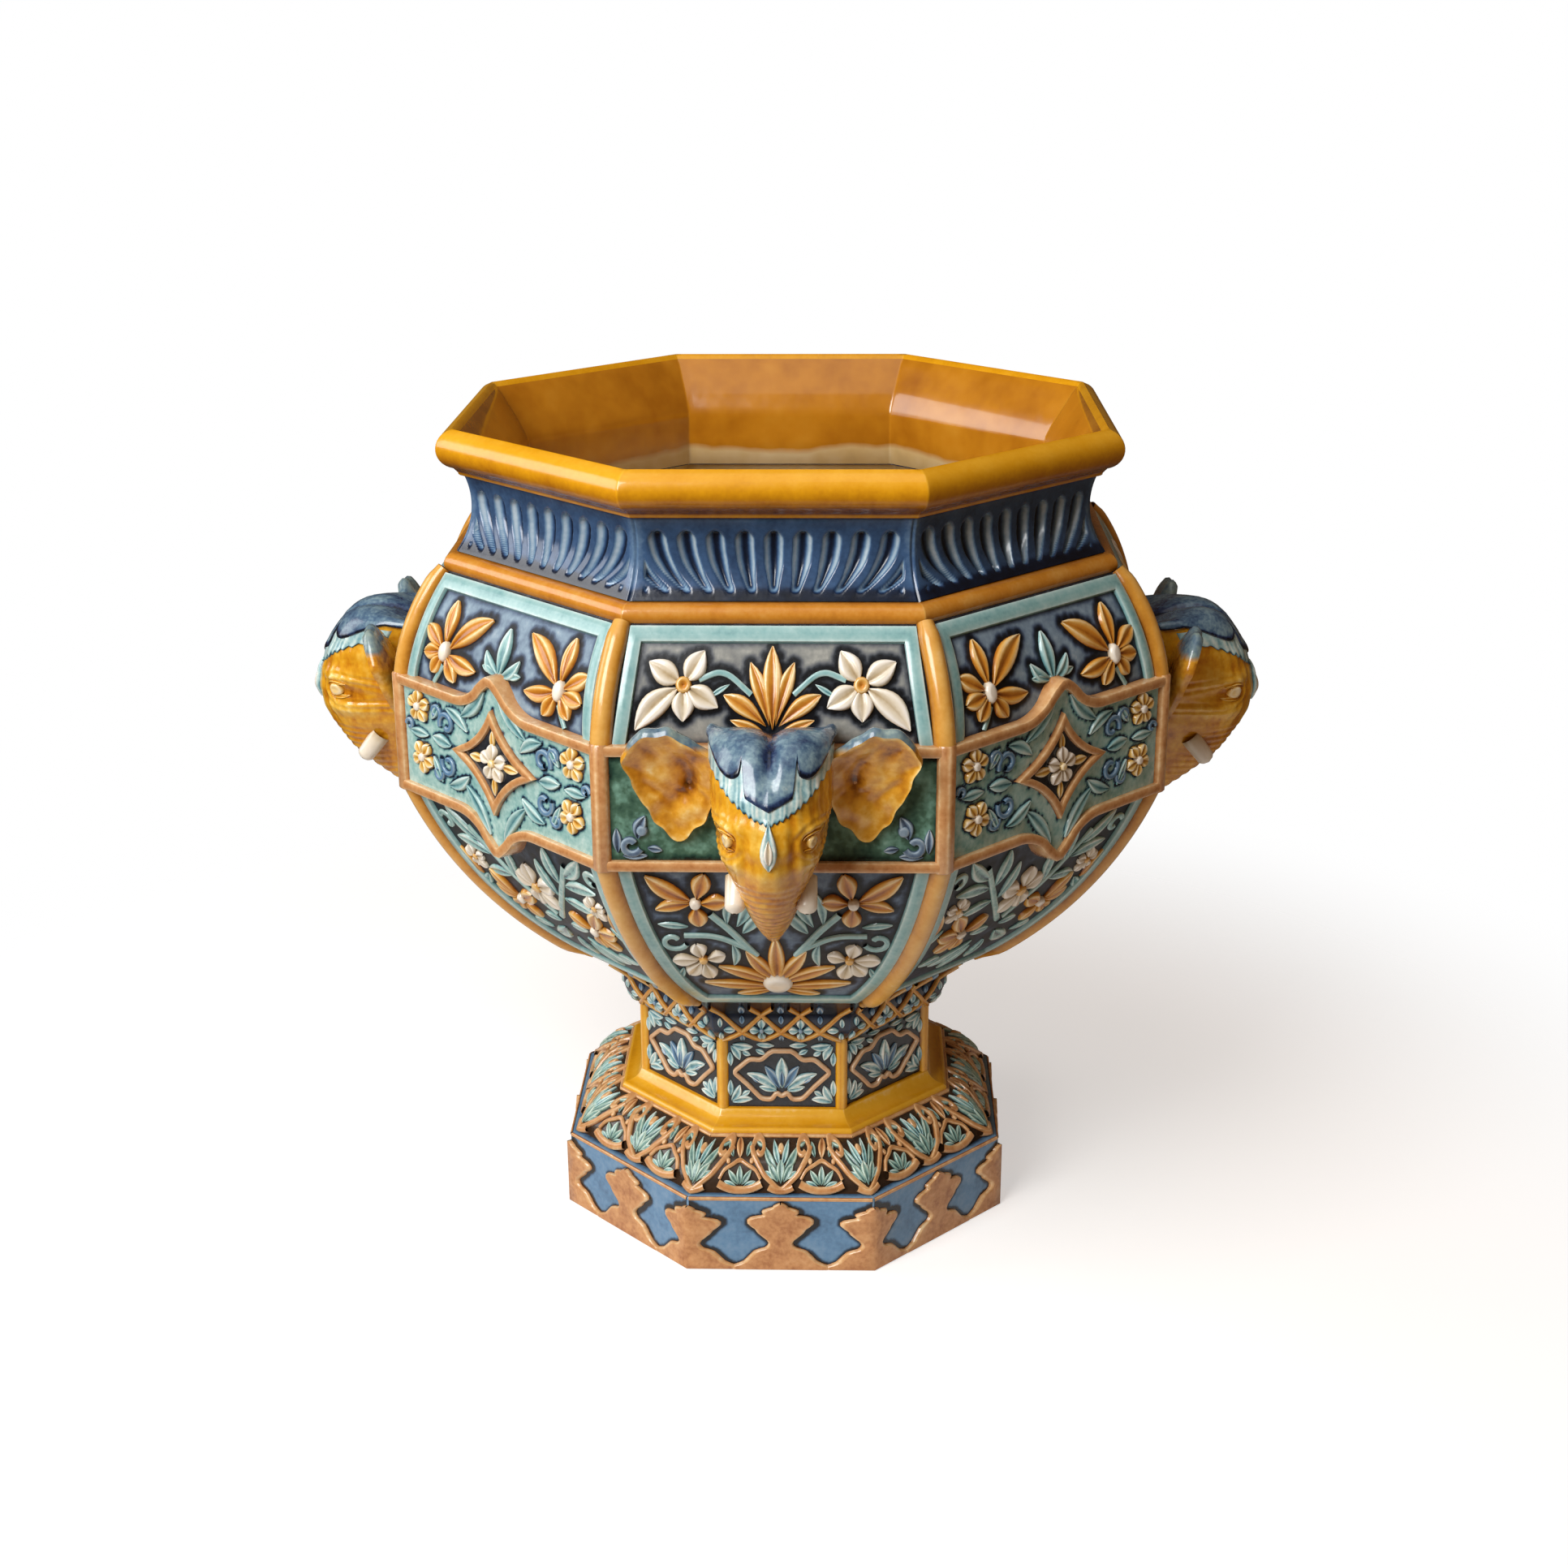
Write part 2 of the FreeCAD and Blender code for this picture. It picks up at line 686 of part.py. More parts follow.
def make_bowl():
    """The hollow bowl in two mouldings that meet behind the belt, and its floor."""
    wall = sizes["bowl_wall"]
    inner_belly = sizes["belly_face"] - wall
    across = sizes["belly_face"] - sizes["panel_low_face"]
    along = BELT_LOW - PANEL_LOW
    chord = (across * across + along * along).root()
    keep("lower_bowl", mitred_ring("lower_bowl", [
        (sizes["floor_face"], COLLAR_TOP),
        (sizes["base_face"], COLLAR_TOP),
        (sizes["panel_low_face"], PANEL_LOW),
        (sizes["belly_face"], BELT_LOW, sizes["lower_bulge"]),
        (sizes["belly_face"], BELT_MIDDLE),
        (inner_belly, BELT_MIDDLE),
        (inner_belly, BELT_LOW),
        (sizes["panel_low_face"] - wall * along / chord, PANEL_LOW + wall * across / chord,
         -sizes["lower_bulge"]),
        (sizes["floor_face"], FLOOR_TOP),
    ]))
    keep("upper_bowl", mitred_ring("upper_bowl", [
        (inner_belly, BELT_MIDDLE),
        (sizes["belly_face"], BELT_MIDDLE),
        (sizes["belly_face"], BELT_TOP),
        (sizes["shoulder_top_face"], SHOULDER_TOP, sizes["shoulder_bulge"]),
        (sizes["shoulder_top_face"] - wall, SHOULDER_TOP),
        (inner_belly, BELT_TOP, -sizes["shoulder_bulge"]),
    ]))
    floor = new_body("bowl_floor")
    sketch = plane_sketch(floor, "XY_Plane", COLLAR_TOP)
    trace(sketch, octagon(sizes["floor_face"])[1:])
    pad(floor, sketch, sizes["floor_thickness"])
    keep("bowl_floor", floor)


def make_bowl_core():
    """The bowl as if it were full: four long slabs of its outer profile, a turn apart, in common."""
    side = [
        (sizes["base_face"], COLLAR_TOP),
        (sizes["panel_low_face"], PANEL_LOW),
        (sizes["belly_face"], BELT_LOW, sizes["lower_bulge"]),
        (sizes["belly_face"], BELT_TOP),
        (sizes["shoulder_top_face"], SHOULDER_TOP, sizes["shoulder_bulge"]),
    ]
    other_side = [
        (-sizes["shoulder_top_face"], SHOULDER_TOP),
        (-sizes["belly_face"], BELT_TOP, sizes["shoulder_bulge"]),
        (-sizes["belly_face"], BELT_LOW),
        (-sizes["panel_low_face"], PANEL_LOW, sizes["lower_bulge"]),
        (-sizes["base_face"], COLLAR_TOP),
    ]
    slabs = []
    for step in range(FLATS // 2):
        slab = new_body(f"core_slab_{step}")
        sketch = plane_sketch(slab, "XZ_Plane")
        trace(sketch, side + other_side)
        pad(slab, sketch, sizes["belly_face"] * CORNER * 3, midplane=True)
        slab.Placement = turned(step * 360 / FLATS)
        slabs.append(slab)
    core = document.addObject("Part::MultiCommon", "bowl_core")
    core.Shapes = slabs
    return core


def make_top():
    """Shoulder ring, hollow neck and rolled rim."""
    ring_low = sizes["shoulder_top_face"] - sizes["ring_set_back"]
    keep("shoulder_ring", mitred_ring("shoulder_ring", [
        (sizes["ring_inner_face"], SHOULDER_TOP), (ring_low, SHOULDER_TOP),
        (sizes["neck_low_face"], RING_TOP, sizes["ring_bulge"]), (sizes["ring_inner_face"], RING_TOP),
    ]))
    keep("neck", mitred_ring("neck", [
        (sizes["neck_inner_face"], RING_TOP), (sizes["neck_low_face"], RING_TOP),
        (sizes["neck_top_face"], NECK_TOP, -sizes["neck_hollow"]), (sizes["neck_inner_face"], NECK_TOP),
    ]))
    step_face = sizes["neck_top_face"] + sizes["rim_step"]
    keep("rim", mitred_ring("rim", [
        (sizes["neck_inner_face"], NECK_TOP),
        (step_face, NECK_TOP),
        (step_face, NECK_TOP + sizes["rim_step_rise"]),
        (sizes["roll_face"], RIM_TOP - sizes["roll_height"]),
        (sizes["roll_face"], RIM_TOP, sizes["roll_bulge"]),
        (sizes["mouth_face"], NECK_TOP + sizes["mouth_rise"], sizes["mouth_round"]),
    ]))


def make_ribs(name, wall, *seats):
    """Round ribs along the corners of the bowl, seated on it."""
    low_face, low_level, high_face, high_level, bulge = wall
    body = new_body(f"{name}_rods")
    path = plane_sketch(body, "XZ_Plane")
    path.AttachmentOffset = FreeCAD.Placement(Vector(), FreeCAD.Rotation(Vector(0, 1, 0), CORNER_TURN))
    start = (low_face * CORNER + sizes["rib_stand"], low_level)
    end = (high_face * CORNER + sizes["rib_stand"], high_level)
    geometry, head, tail, radius = edge_geometry(start, end, bulge)
    edge = path.addGeometry(geometry, False)
    constraints = [place_point(edge, head, axis, start[axis]) for axis in (0, 1)]
    constraints += [place_point(edge, tail, axis, end[axis]) for axis in (0, 1)]
    constraints.append((Sketcher.Constraint("Radius", edge, radius.value), radius.text))
    path.addConstraint([constraint for constraint, text in constraints])
    for index, (constraint, text) in enumerate(constraints):
        path.setExpression(f"Constraints[{index}]", text)
    document.recompute()
    section = body.newObject("Sketcher::SketchObject", f"{name}_section")
    section.AttachmentSupport = [(path, "Edge1")]
    section.MapMode = "NormalToEdge"
    thickness = sizes["rib_radius"]
    circle = section.addGeometry(Part.Circle(Vector(), Vector(0, 0, 1), thickness.value), False)
    section.addConstraint(Sketcher.Constraint("Coincident", circle, 3, -1, 1))
    rounding = section.addConstraint(Sketcher.Constraint("Radius", circle, thickness.value))
    section.setExpression(f"Constraints[{rounding}]", thickness.text)
    document.recompute()
    pipe = body.newObject("PartDesign::AdditivePipe", f"{name}_pipe")
    pipe.Profile = section
    pipe.Spine = (path, [])
    document.recompute()
    turn_about_axis(body, FLATS)
    keep(name, cut(name, body, *seats))


def make_neck_flutes():
    """A fluted skin on each flat of the neck: hollow flutes that fan outward to the rim, ridges between."""
    relief = sizes["flute_relief"]
    body = new_body("neck_flutes")
    skin = plane_sketch(body, "XZ_Plane")
    trace(skin, [
        (sizes["neck_low_face"], RING_TOP, sizes["neck_hollow"]),
        (sizes["neck_low_face"] + relief, RING_TOP),
        (sizes["neck_top_face"] + relief, NECK_TOP, -sizes["neck_hollow"]),
        (sizes["neck_top_face"], NECK_TOP),
    ])
    narrow = sizes["neck_top_face"] - sizes["neck_hollow"]
    pad(body, skin, 2 * (narrow * HALF_SIDE - sizes["corner_margin"]), midplane=True)
    hollows = plane_sketch(body, "YZ_Plane")
    half_low = (sizes["flute_low_pitch"] - sizes["flute_ridge"]) / 2
    half_high = (sizes["flute_top_pitch"] - sizes["flute_ridge"]) / 2
    low = RING_TOP + sizes["flute_margin"]
    high = NECK_TOP - sizes["flute_margin"] - sizes["flute_arch"]
    for step in range(FLUTES):
        place = step - (FLUTES - 1) / 2
        across_low = sizes["flute_low_pitch"] * place
        across_high = sizes["flute_top_pitch"] * place
        trace(hollows, [
            (across_low - half_low, low), (across_low + half_low, low),
            (across_high + half_high, high), (across_high - half_high, high, sizes["flute_arch"]),
        ])
    document.recompute()
    pocket(body, hollows)
    document.recompute()
    turn_about_axis(body, FLATS)
    keep("neck_flutes", body)


def frame_side_bulge(wall):
    """How far a frame's side bows, seen square to the flat, for a bowl wall that bows by its bulge."""
    low_face, low_level, high_face, high_level, bulge = wall
    across = low_face - high_face
    along = high_level - low_level
    side = across * HALF_SIDE
    wall_chord = (across * across + along * along).root()
    side_chord = (side * side + along * along).root()
    return bulge * HALF_SIDE * wall_chord / side_chord


def wall_relief(name, wall, outlines, relief):
    """Outlines on the +X flat, padded out of the bowl and cut off where the relief ends over the wall."""
    low_face, low_level, high_face, high_level, bulge = wall
    body = new_body(f"{name}_blank")
    back = plane_sketch(body, "YZ_Plane", sizes["floor_face"])
    for outline in outlines:
        trace(back, outline)
    pad(body, back, sizes["belt_face"])
    far = sizes["belt_face"] * 2
    outside = plane_sketch(body, "XZ_Plane")
    trace(outside, [
        (low_face + relief, low_level, -bulge), (far, low_level), (far, high_level),
        (high_face + relief, high_level),
    ])
    document.recompute()
    pocket(body, outside)
    document.recompute()
    return body


def make_panel_frames(name, wall, open_end, core):
    """A raised frame on each curved flat of the bowl, open towards the belt and clear of the ribs."""
    low_face, low_level, high_face, high_level, bulge = wall
    inset = sizes["rib_radius"] + sizes["frame_clearance"]
    width = sizes["frame_width"]
    low_half = low_face * HALF_SIDE - inset
    high_half = high_face * HALF_SIDE - inset
    bow = frame_side_bulge(wall)
    if open_end == "low":
        top = high_level - sizes["frame_top_gap"]
        outline = [
            (-low_half, low_level, bow), (width - low_half, low_level),
            (width - high_half, top - width, -bow), (high_half - width, top - width),
            (low_half - width, low_level, -bow), (low_half, low_level),
            (high_half, top, bow), (-high_half, top),
        ]
    else:
        outline = [
            (-low_half, low_level, bow), (low_half, low_level),
            (high_half, high_level, bow), (high_half - width, high_level),
            (low_half - width, low_level + width, -bow), (width - low_half, low_level + width),
            (width - high_half, high_level, -bow), (-high_half, high_level),
        ]
    body = wall_relief(name, wall, [outline], sizes["frame_relief"])
    turn_about_axis(body, FLATS)
    keep(name, cut(name, body, core))


def flower_outline(flower, petal_count, panel_foot):
    """Pointed petals with bowed sides round a heart, with a notch between each two."""
    heart_across = sizes[f"{flower}_across"]
    heart_level = panel_foot + sizes[f"{flower}_rise"]
    outline = []
    for place in range(petal_count):
        turn = sizes[f"{flower}_turn_{place}"]
        reach = sizes[f"{flower}_reach_{place}"]
        gap = sizes[f"{flower}_turn_{(place + 1) % petal_count}"] - turn
        if place == petal_count - 1:
            gap = gap + 360
        middle = turn + gap / 2
        notch = sizes["petal_root"] / sine(gap / 2)
        bow = reach * sizes["petal_fullness"]
        outline.append((heart_across + reach * cosine(turn), heart_level + reach * sine(turn), bow))
        outline.append((heart_across + notch * cosine(middle), heart_level + notch * sine(middle), bow))
    return outline


def make_flowers(core, head):
    """Flowers on the panels, grouped by glaze and wall. What a head covers is left out."""
    for label, flowers in FLOWERS.items():
        wall = UPPER_WALL if label.startswith("upper") else LOWER_WALL
        pieces = []
        for flower, (flats, across, unused, petals) in flowers.items():
            outline = flower_outline(flower, len(petals), wall[1])
            outlines = [outline] if across == 0 else [outline, mirrored(outline)]
            seated = cut(f"{flower}_seated", wall_relief(flower, wall, outlines, sizes["flower_relief"]), core)
            if flower == "palmette":
                seated = cut("palmette_clear", seated, head)
            first_turn = 0.0 if flats == "heads" else 2 * CORNER_TURN
            for step in range(HEAD_FLATS):
                turn = first_turn + step * 360 / HEAD_FLATS
                pieces.append(group(f"{flower}_{step}", [seated], turn))
        keep(label, group(label, pieces))


def ogee_edge(half, level, turn, tip):
    """An edge from right to left that rises through a hollow and a round to a peak in the middle."""
    hollow = -sizes["ogee_hollow"]
    rounding = sizes["ogee_round"]
    return [
        (half, level),
        (sizes["ogee_half"], level),
        (sizes["ogee_turn_half"], level + turn, hollow),
        (sizes["ogee_tip_half"], level + tip, rounding),
        (-sizes["ogee_tip_half"], level + tip),
        (-sizes["ogee_turn_half"], level + turn, rounding),
        (-sizes["ogee_half"], level, hollow),
        (-half, level),
    ]


def backwards(points):
    """The same open edge walked the other way, so that what bowed out bows in."""
    count = len(points)
    walked = []
    for place in range(count):
        source = points[count - 1 - place]
        bulge = points[count - place][2:3] if place else ()
        walked.append(source[:2] + tuple(-size for size in bulge))
    return walked


def turned_half(points):
    """The edge turned upside down about the middle of the belt, still walked with its outside right."""
    return [(-as_size(point[0]), 2 * BELT_MIDDLE - point[1]) + tuple(point[2:3]) for point in points]


def make_belt(core):
    """The upright belt: corner posts, plain panels behind the heads, ogee panels with stars between."""
    outer = sizes["belt_face"] + sizes["band_relief"]
    post_start = sizes["belt_face"] * HALF_SIDE - sizes["post_width"]
    posts = mitred_ring("belt_posts", [
        (sizes["belly_face"], BELT_LOW), (outer, BELT_LOW),
        (outer, BELT_TOP), (sizes["belly_face"], BELT_TOP),
    ])
    gap = plane_sketch(posts, "YZ_Plane")
    trace(gap, [
        (-post_start, BELT_LOW - OVERRUN), (post_start, BELT_LOW - OVERRUN),
        (post_start, BELT_TOP + OVERRUN), (-post_start, BELT_TOP + OVERRUN),
    ])
    document.recompute()
    turn_about_axis(posts, FLATS, pocket(posts, gap))
    keep("belt_posts", posts)

    panel = [
        (-post_start, BELT_LOW), (post_start, BELT_LOW),
        (post_start, BELT_TOP), (-post_start, BELT_TOP),
    ]
    face = sizes["belt_face"]
    relief = sizes["band_relief"]
    panel_thickness = face - sizes["belly_face"]
    keep("elephant_panels", belt_layer("elephant_panels", [panel], sizes["belly_face"], panel_thickness))
    low_band = [
        (-post_start, BELT_LOW), (post_start, BELT_LOW),
        (post_start, BELT_LOW + sizes["band_width"]), (-post_start, BELT_LOW + sizes["band_width"]),
    ]
    high_band = [
        (-post_start, BELT_TOP - sizes["band_width"]), (post_start, BELT_TOP - sizes["band_width"]),
        (post_start, BELT_TOP), (-post_start, BELT_TOP),
    ]
    bands = [low_band, high_band]
    keep("elephant_panel_bands", belt_layer("elephant_panel_bands", bands, face, relief))

    turn = CORNER_TURN * 2
    bend = sizes["ogee_turn_rise"]
    high_edge = ogee_edge(post_start, BELT_TOP, bend, sizes["ogee_peak_rise"])
    low_edge = turned_half(ogee_edge(post_start, BELT_TOP, bend, sizes["ogee_drop"]))
    bed = sizes["panel_low_face"]
    star_blanks = belt_layer("star_panel_blanks", [low_edge + high_edge], bed, face - bed, turn)
    keep("star_panels", cut("star_panels", star_blanks, core))
    inner_top = BELT_TOP - sizes["band_width"]
    high_inner = ogee_edge(post_start, inner_top, bend, sizes["ogee_peak_rise"])
    low_inner = turned_half(ogee_edge(post_start, inner_top, bend, sizes["ogee_drop"]))
    star_bands = [backwards(high_inner) + high_edge, low_edge + backwards(low_inner)]
    keep("star_panel_bands", belt_layer("star_panel_bands", star_bands, face, relief, turn))
    stars = [
        star(sizes["star_half"], sizes["star_rise"], sizes["star_hollow"]),
        star(sizes["star_inner_half"], sizes["star_inner_rise"], sizes["star_inner_hollow"]),
    ]
    keep("star_cartouches", belt_layer("star_cartouches", stars, face, relief, turn))
    return posts


def star(half, rise, hollow):
    """A four-pointed star with hollow sides in the middle of the belt."""
    return [
        (half, BELT_MIDDLE, -hollow), (0, BELT_MIDDLE + rise, -hollow),
        (-half, BELT_MIDDLE, -hollow), (0, BELT_MIDDLE - rise, -hollow),
    ]


def belt_layer(name, outlines, back, thickness, turn=0.0):
    """Flat pieces of one thickness on every second flat of the belt."""
    body = new_body(name)
    sketch = plane_sketch(body, "YZ_Plane", back)
    for outline in outlines:
        trace(sketch, outline)
    pad(body, sketch, thickness)
    document.recompute()
    turn_about_axis(body, HEAD_FLATS)
    body.Placement = turned(turn)
    return body


def head_loft(name, grow):
    """A head and trunk through level ellipses, each grown outward by the same amount."""
    sections = []
    for section in HEAD_SECTIONS:
        front = sizes["belt_face"] + sizes[f"{section}_reach"] + grow
        back = sizes["belt_face"] - sizes[f"{section}_bed"] - grow
        lift = grow if section == "crown" else as_size(0)
        ellipse = document.addObject("Part::Ellipse", f"{name}_{section}")
        bind(ellipse, "MajorRadius", (front - back) / 2)
        bind(ellipse, "MinorRadius", sizes[f"{section}_half"] + grow)
        bind(ellipse, "Placement.Base.x", (front + back) / 2)
        bind(ellipse, "Placement.Base.z", BELT_MIDDLE + sizes[f"{section}_rise"] + lift)
        sections.append(ellipse)
    loft = document.addObject("Part::Loft", name)
    loft.Sections = sections
    loft.Solid = True
    loft.Ruled = False
    return loft


def belt_block():
    """What stands behind a head: the belt out to the front of its bands."""
    block = document.addObject("Part::Box", "belt_block")
    bind(block, "Length", sizes["belt_face"] + sizes["band_relief"])
    bind(block, "Width", 4 * sizes["cloth_half"])
    bind(block, "Height", sizes["belt_height"])
    bind(block, "Placement.Base.y", -(2 * sizes["cloth_half"]))
    bind(block, "Placement.Base.z", BELT_LOW)
    return block


def make_heads(core):
    """Four elephant heads with headcloth, ears and tusks, drawn on the right flat and turned."""
    block = belt_block()
    solid_head = head_loft("head_form", as_size(0))
    head = cut("head_seated", solid_head, core, block)

    cloth_form = head_loft("cloth_form", sizes["cloth_thickness"])
    cloth_body = new_body("cloth_outline")
    sketch = plane_sketch(cloth_body, "YZ_Plane", sizes["belt_face"])
    side = BELT_MIDDLE + sizes["cloth_side_rise"]
    top = BELT_MIDDLE + sizes["cloth_top_rise"]
    trace(sketch, [
        (0, BELT_MIDDLE + sizes["cloth_point_rise"], -sizes["cloth_sag"]),
        (sizes["cloth_half"], side, -sizes["cloth_sag"]), (sizes["cloth_half"], top),
        (-sizes["cloth_half"], top), (-sizes["cloth_half"], side),
    ])
    pad(cloth_body, sketch, sizes["belt_face"])
    document.recompute()
    cloth_shell = cut("cloth_shell", cloth_form, solid_head)
    cloth = cut("cloth_seated", common("cloth_piece", cloth_shell, cloth_body), core, block)

    ears = group("ear_pair", [make_ear(side_sign, solid_head) for side_sign in (-1, 1)])
    tusks = group("tusk_pair", [make_tusk(side_sign, solid_head) for side_sign in (-1, 1)])
    for direction, turn in HEAD_DIRECTIONS.items():
        keep(f"elephant_head_{direction}", group(f"elephant_head_{direction}", [head], turn))
        keep(f"headcloth_{direction}", group(f"headcloth_{direction}", [cloth], turn))
        keep(f"ears_{direction}", group(f"ears_{direction}", [ears], turn))
        keep(f"tusks_{direction}", group(f"tusks_{direction}", [tusks], turn))
    return cloth_form


def make_ear(side_sign, head):
    """A dished ear: its outline taken out of a thick spherical shell that opens forward."""
    outline = [
        (sizes["ear_lobe_half"], BELT_MIDDLE + sizes["ear_lobe_rise"]),
        (sizes["ear_tip_half"], BELT_MIDDLE + sizes["ear_tip_rise"], sizes["ear_round"]),
        (sizes["ear_corner_half"], BELT_MIDDLE + sizes["ear_corner_rise"], sizes["ear_round"]),
        (sizes["ear_top_half"], BELT_MIDDLE + sizes["ear_top_rise"], sizes["ear_round"]),
        (sizes["ear_root_half"], BELT_MIDDLE + sizes["ear_root_rise"]),
    ]
    blank = new_body("ear_outline")
    sketch = plane_sketch(blank, "YZ_Plane", sizes["belt_face"])
    trace(sketch, outline if side_sign > 0 else mirrored(outline))
    pad(blank, sketch, sizes["ear_dish"] / 2)
    back = sizes["belt_face"] + sizes["band_relief"] + sizes["frame_clearance"]
    middle = BELT_MIDDLE + (sizes["ear_top_rise"] + sizes["ear_tip_rise"]) / 2
    balls = []
    for radius in (sizes["ear_dish"], sizes["ear_dish"] - sizes["ear_thickness"]):
        ball = document.addObject("Part::Sphere", "ear_ball")
        bind(ball, "Radius", radius)
        bind(ball, "Placement.Base.x", back + sizes["ear_dish"])
        bind(ball, "Placement.Base.y", sizes["ear_top_half"] * side_sign)
        bind(ball, "Placement.Base.z", middle)
        balls.append(ball)
    document.recompute()
    shell = cut("ear_shell", balls[0], balls[1])
    return cut("ear_seated", common("ear_piece", blank, shell), head)


def make_tusk(side_sign, head):
    """A short blunt tusk that points down and forward out of the mouth."""
    cone = document.addObject("Part::Cone", "tusk_cone")
    bind(cone, "Radius1", sizes["tusk_root"])
    bind(cone, "Radius2", sizes["tusk_end"])
    bind(cone, "Height", sizes["tusk_length"])
    tilt = 180 - sizes["tusk_tilt"]
    cone.Placement = FreeCAD.Placement(Vector(), FreeCAD.Rotation(Vector(0, 1, 0), tilt.value))
    bind(cone, "Placement.Rotation.Angle", tilt)
    bind(cone, "Placement.Base.x", sizes["belt_face"] + sizes["tusk_reach"])
    bind(cone, "Placement.Base.y", sizes["tusk_half"] * side_sign)
    bind(cone, "Placement.Base.z", BELT_MIDDLE - sizes["tusk_drop"])
    return cut("tusk_seated", cone, head)


def save():
    """Check every object of the document, then write each piece to its own file."""
    document.recompute()
    for feature in document.Objects:
        if "Invalid" in feature.State or "Error" in feature.State:
            raise RuntimeError(f"{feature.Label} failed: {feature.State}")
    for label, feature in nodes.items():
        if feature.Shape.isNull() or not feature.Shape.isValid():
            raise RuntimeError(f"{label} has no valid shape")
    os.makedirs("parts", exist_ok=True)
    for label, feature in nodes.items():
        feature.Shape.exportStep(f"parts/{label}.step")
        print(label, len(feature.Shape.Solids), round(feature.Shape.Volume / 1000, 1), "cm3")


foot_skirt = make_foot()
make_cresting()
make_scallops(foot_skirt)
make_stem_ornament()
make_bowl()
bowl_core = make_bowl_core()
make_top()
make_neck_flutes()
belt_posts = make_belt(bowl_core)
make_ribs("upper_ribs", UPPER_WALL, bowl_core, belt_posts, nodes["shoulder_ring"])
make_ribs("lower_ribs", LOWER_WALL, bowl_core, belt_posts)
make_panel_frames("upper_panel_frames", UPPER_WALL, "low", bowl_core)
make_panel_frames("lower_panel_frames", LOWER_WALL, "high", bowl_core)
clothed_head = make_heads(bowl_core)
make_flowers(bowl_core, clothed_head)
save()
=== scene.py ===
# %% [markdown]
# # An octagonal majolica jardiniere
#
# A jardiniere is an outer pot that hides a plain flower pot. This one is press-moulded earthenware: the
# walls and mouldings come out of plaster moulds, the flowers are laid on as relief, and coloured lead
# glazes are painted into the relief before the firing. Glaze runs thin and pale over every edge and pools
# dark in every hollow, and that is what makes majolica look the way it does.
#
# So this lesson keeps one number with every point of every surface: its *rise*, from 0 in a hollow, where
# the glaze pools, to 1 on a crest, where it is thin. Each glaze then turns that number into colour. In a
# few places the rise also carries painted shade, and on the rim a painted highlight.

# %% Load the imported pot
import math

import bpy
import numpy as np
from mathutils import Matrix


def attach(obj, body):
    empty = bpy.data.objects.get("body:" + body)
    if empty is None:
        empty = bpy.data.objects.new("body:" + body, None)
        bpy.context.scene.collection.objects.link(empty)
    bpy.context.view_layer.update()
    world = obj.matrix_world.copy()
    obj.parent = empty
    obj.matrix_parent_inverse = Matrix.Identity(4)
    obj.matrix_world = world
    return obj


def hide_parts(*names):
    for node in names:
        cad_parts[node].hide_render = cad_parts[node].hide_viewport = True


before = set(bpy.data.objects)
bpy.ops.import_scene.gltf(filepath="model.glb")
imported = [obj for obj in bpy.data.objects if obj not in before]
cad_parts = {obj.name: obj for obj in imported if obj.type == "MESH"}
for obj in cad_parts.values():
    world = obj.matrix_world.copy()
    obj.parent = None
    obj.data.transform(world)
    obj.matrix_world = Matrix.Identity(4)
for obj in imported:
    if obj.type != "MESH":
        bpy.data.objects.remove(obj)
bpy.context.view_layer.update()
print("CAD nodes:", len(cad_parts))

# %% [markdown]
# ## The measures of the pot
#
# All shapes are worked out in millimetres, with the pot's axis as Z. A *face* is the distance from the
# axis to a flat of the octagon, and a *level* is a height above the floor. Nearly all the numbers are
# those of the solid model, so that each new surface lies where its solid is. The underside of the rim and
# the foot of the belt were measured once more.

# %% Levels and faces
MILLIMETRE = 0.001
FLATS = 8
HALF_TURN = math.radians(22.5)
HALF_SIDE = math.tan(HALF_TURN)
HEAD_TURNS = np.radians([0.0, 90.0, 180.0, 270.0])
STAR_TURNS = HEAD_TURNS + 2 * HALF_TURN
ALL_TURNS = np.sort(np.concatenate([HEAD_TURNS, STAR_TURNS]))

PLINTH_TOP, SKIRT_TOP, CAVETTO_TOP, STEM_TOP = 48.0, 73.0, 84.5, 131.0
COLLAR_TOP, FLOOR_TOP, PANEL_LOW = 152.6, 166.6, 171.3
BELT_LOW, BELT_MIDDLE, BELT_TOP = 297.0, 330.0, 363.0
SHOULDER_TOP, RING_TOP, NECK_TOP, RIM_TOP = 420.0, 429.5, 473.4, 499.5

PLINTH_FACE, SKIRT_LOW_FACE, SKIRT_TOP_FACE, STEM_FACE = 134.5, 129.0, 101.0, 88.0
COLLAR_LOW_FACE, BASE_FACE, PANEL_LOW_FACE = 89.0, 99.4, 119.0
BELLY_FACE, BELT_FACE, BAND_FACE = 214.5, 218.5, 221.7
SHOULDER_FACE, NECK_LOW_FACE, NECK_TOP_FACE = 189.5, 182.3, 176.2
FOOT_INNER, PLINTH_INNER, BELLY_INNER = 74.0, 118.5, 201.5
print("height", RIM_TOP, "mm, belt across flats", 2 * BAND_FACE, "mm")

# %% [markdown]
# ## Grids, arcs and joined pieces
#
# Every surface here is a grid of points: rows that go up and columns that go to the right, seen from
# outside, so that the faces look outward. Patches with the same glaze are joined into one mesh at the
# origin, and the rise of each point goes along as a mesh attribute. Blender's Spin, Mirror and Array
# could repeat such patches too. Numpy arrays were chosen, because then the rise comes out of the same
# formula as the shape.

# %% Grid helpers


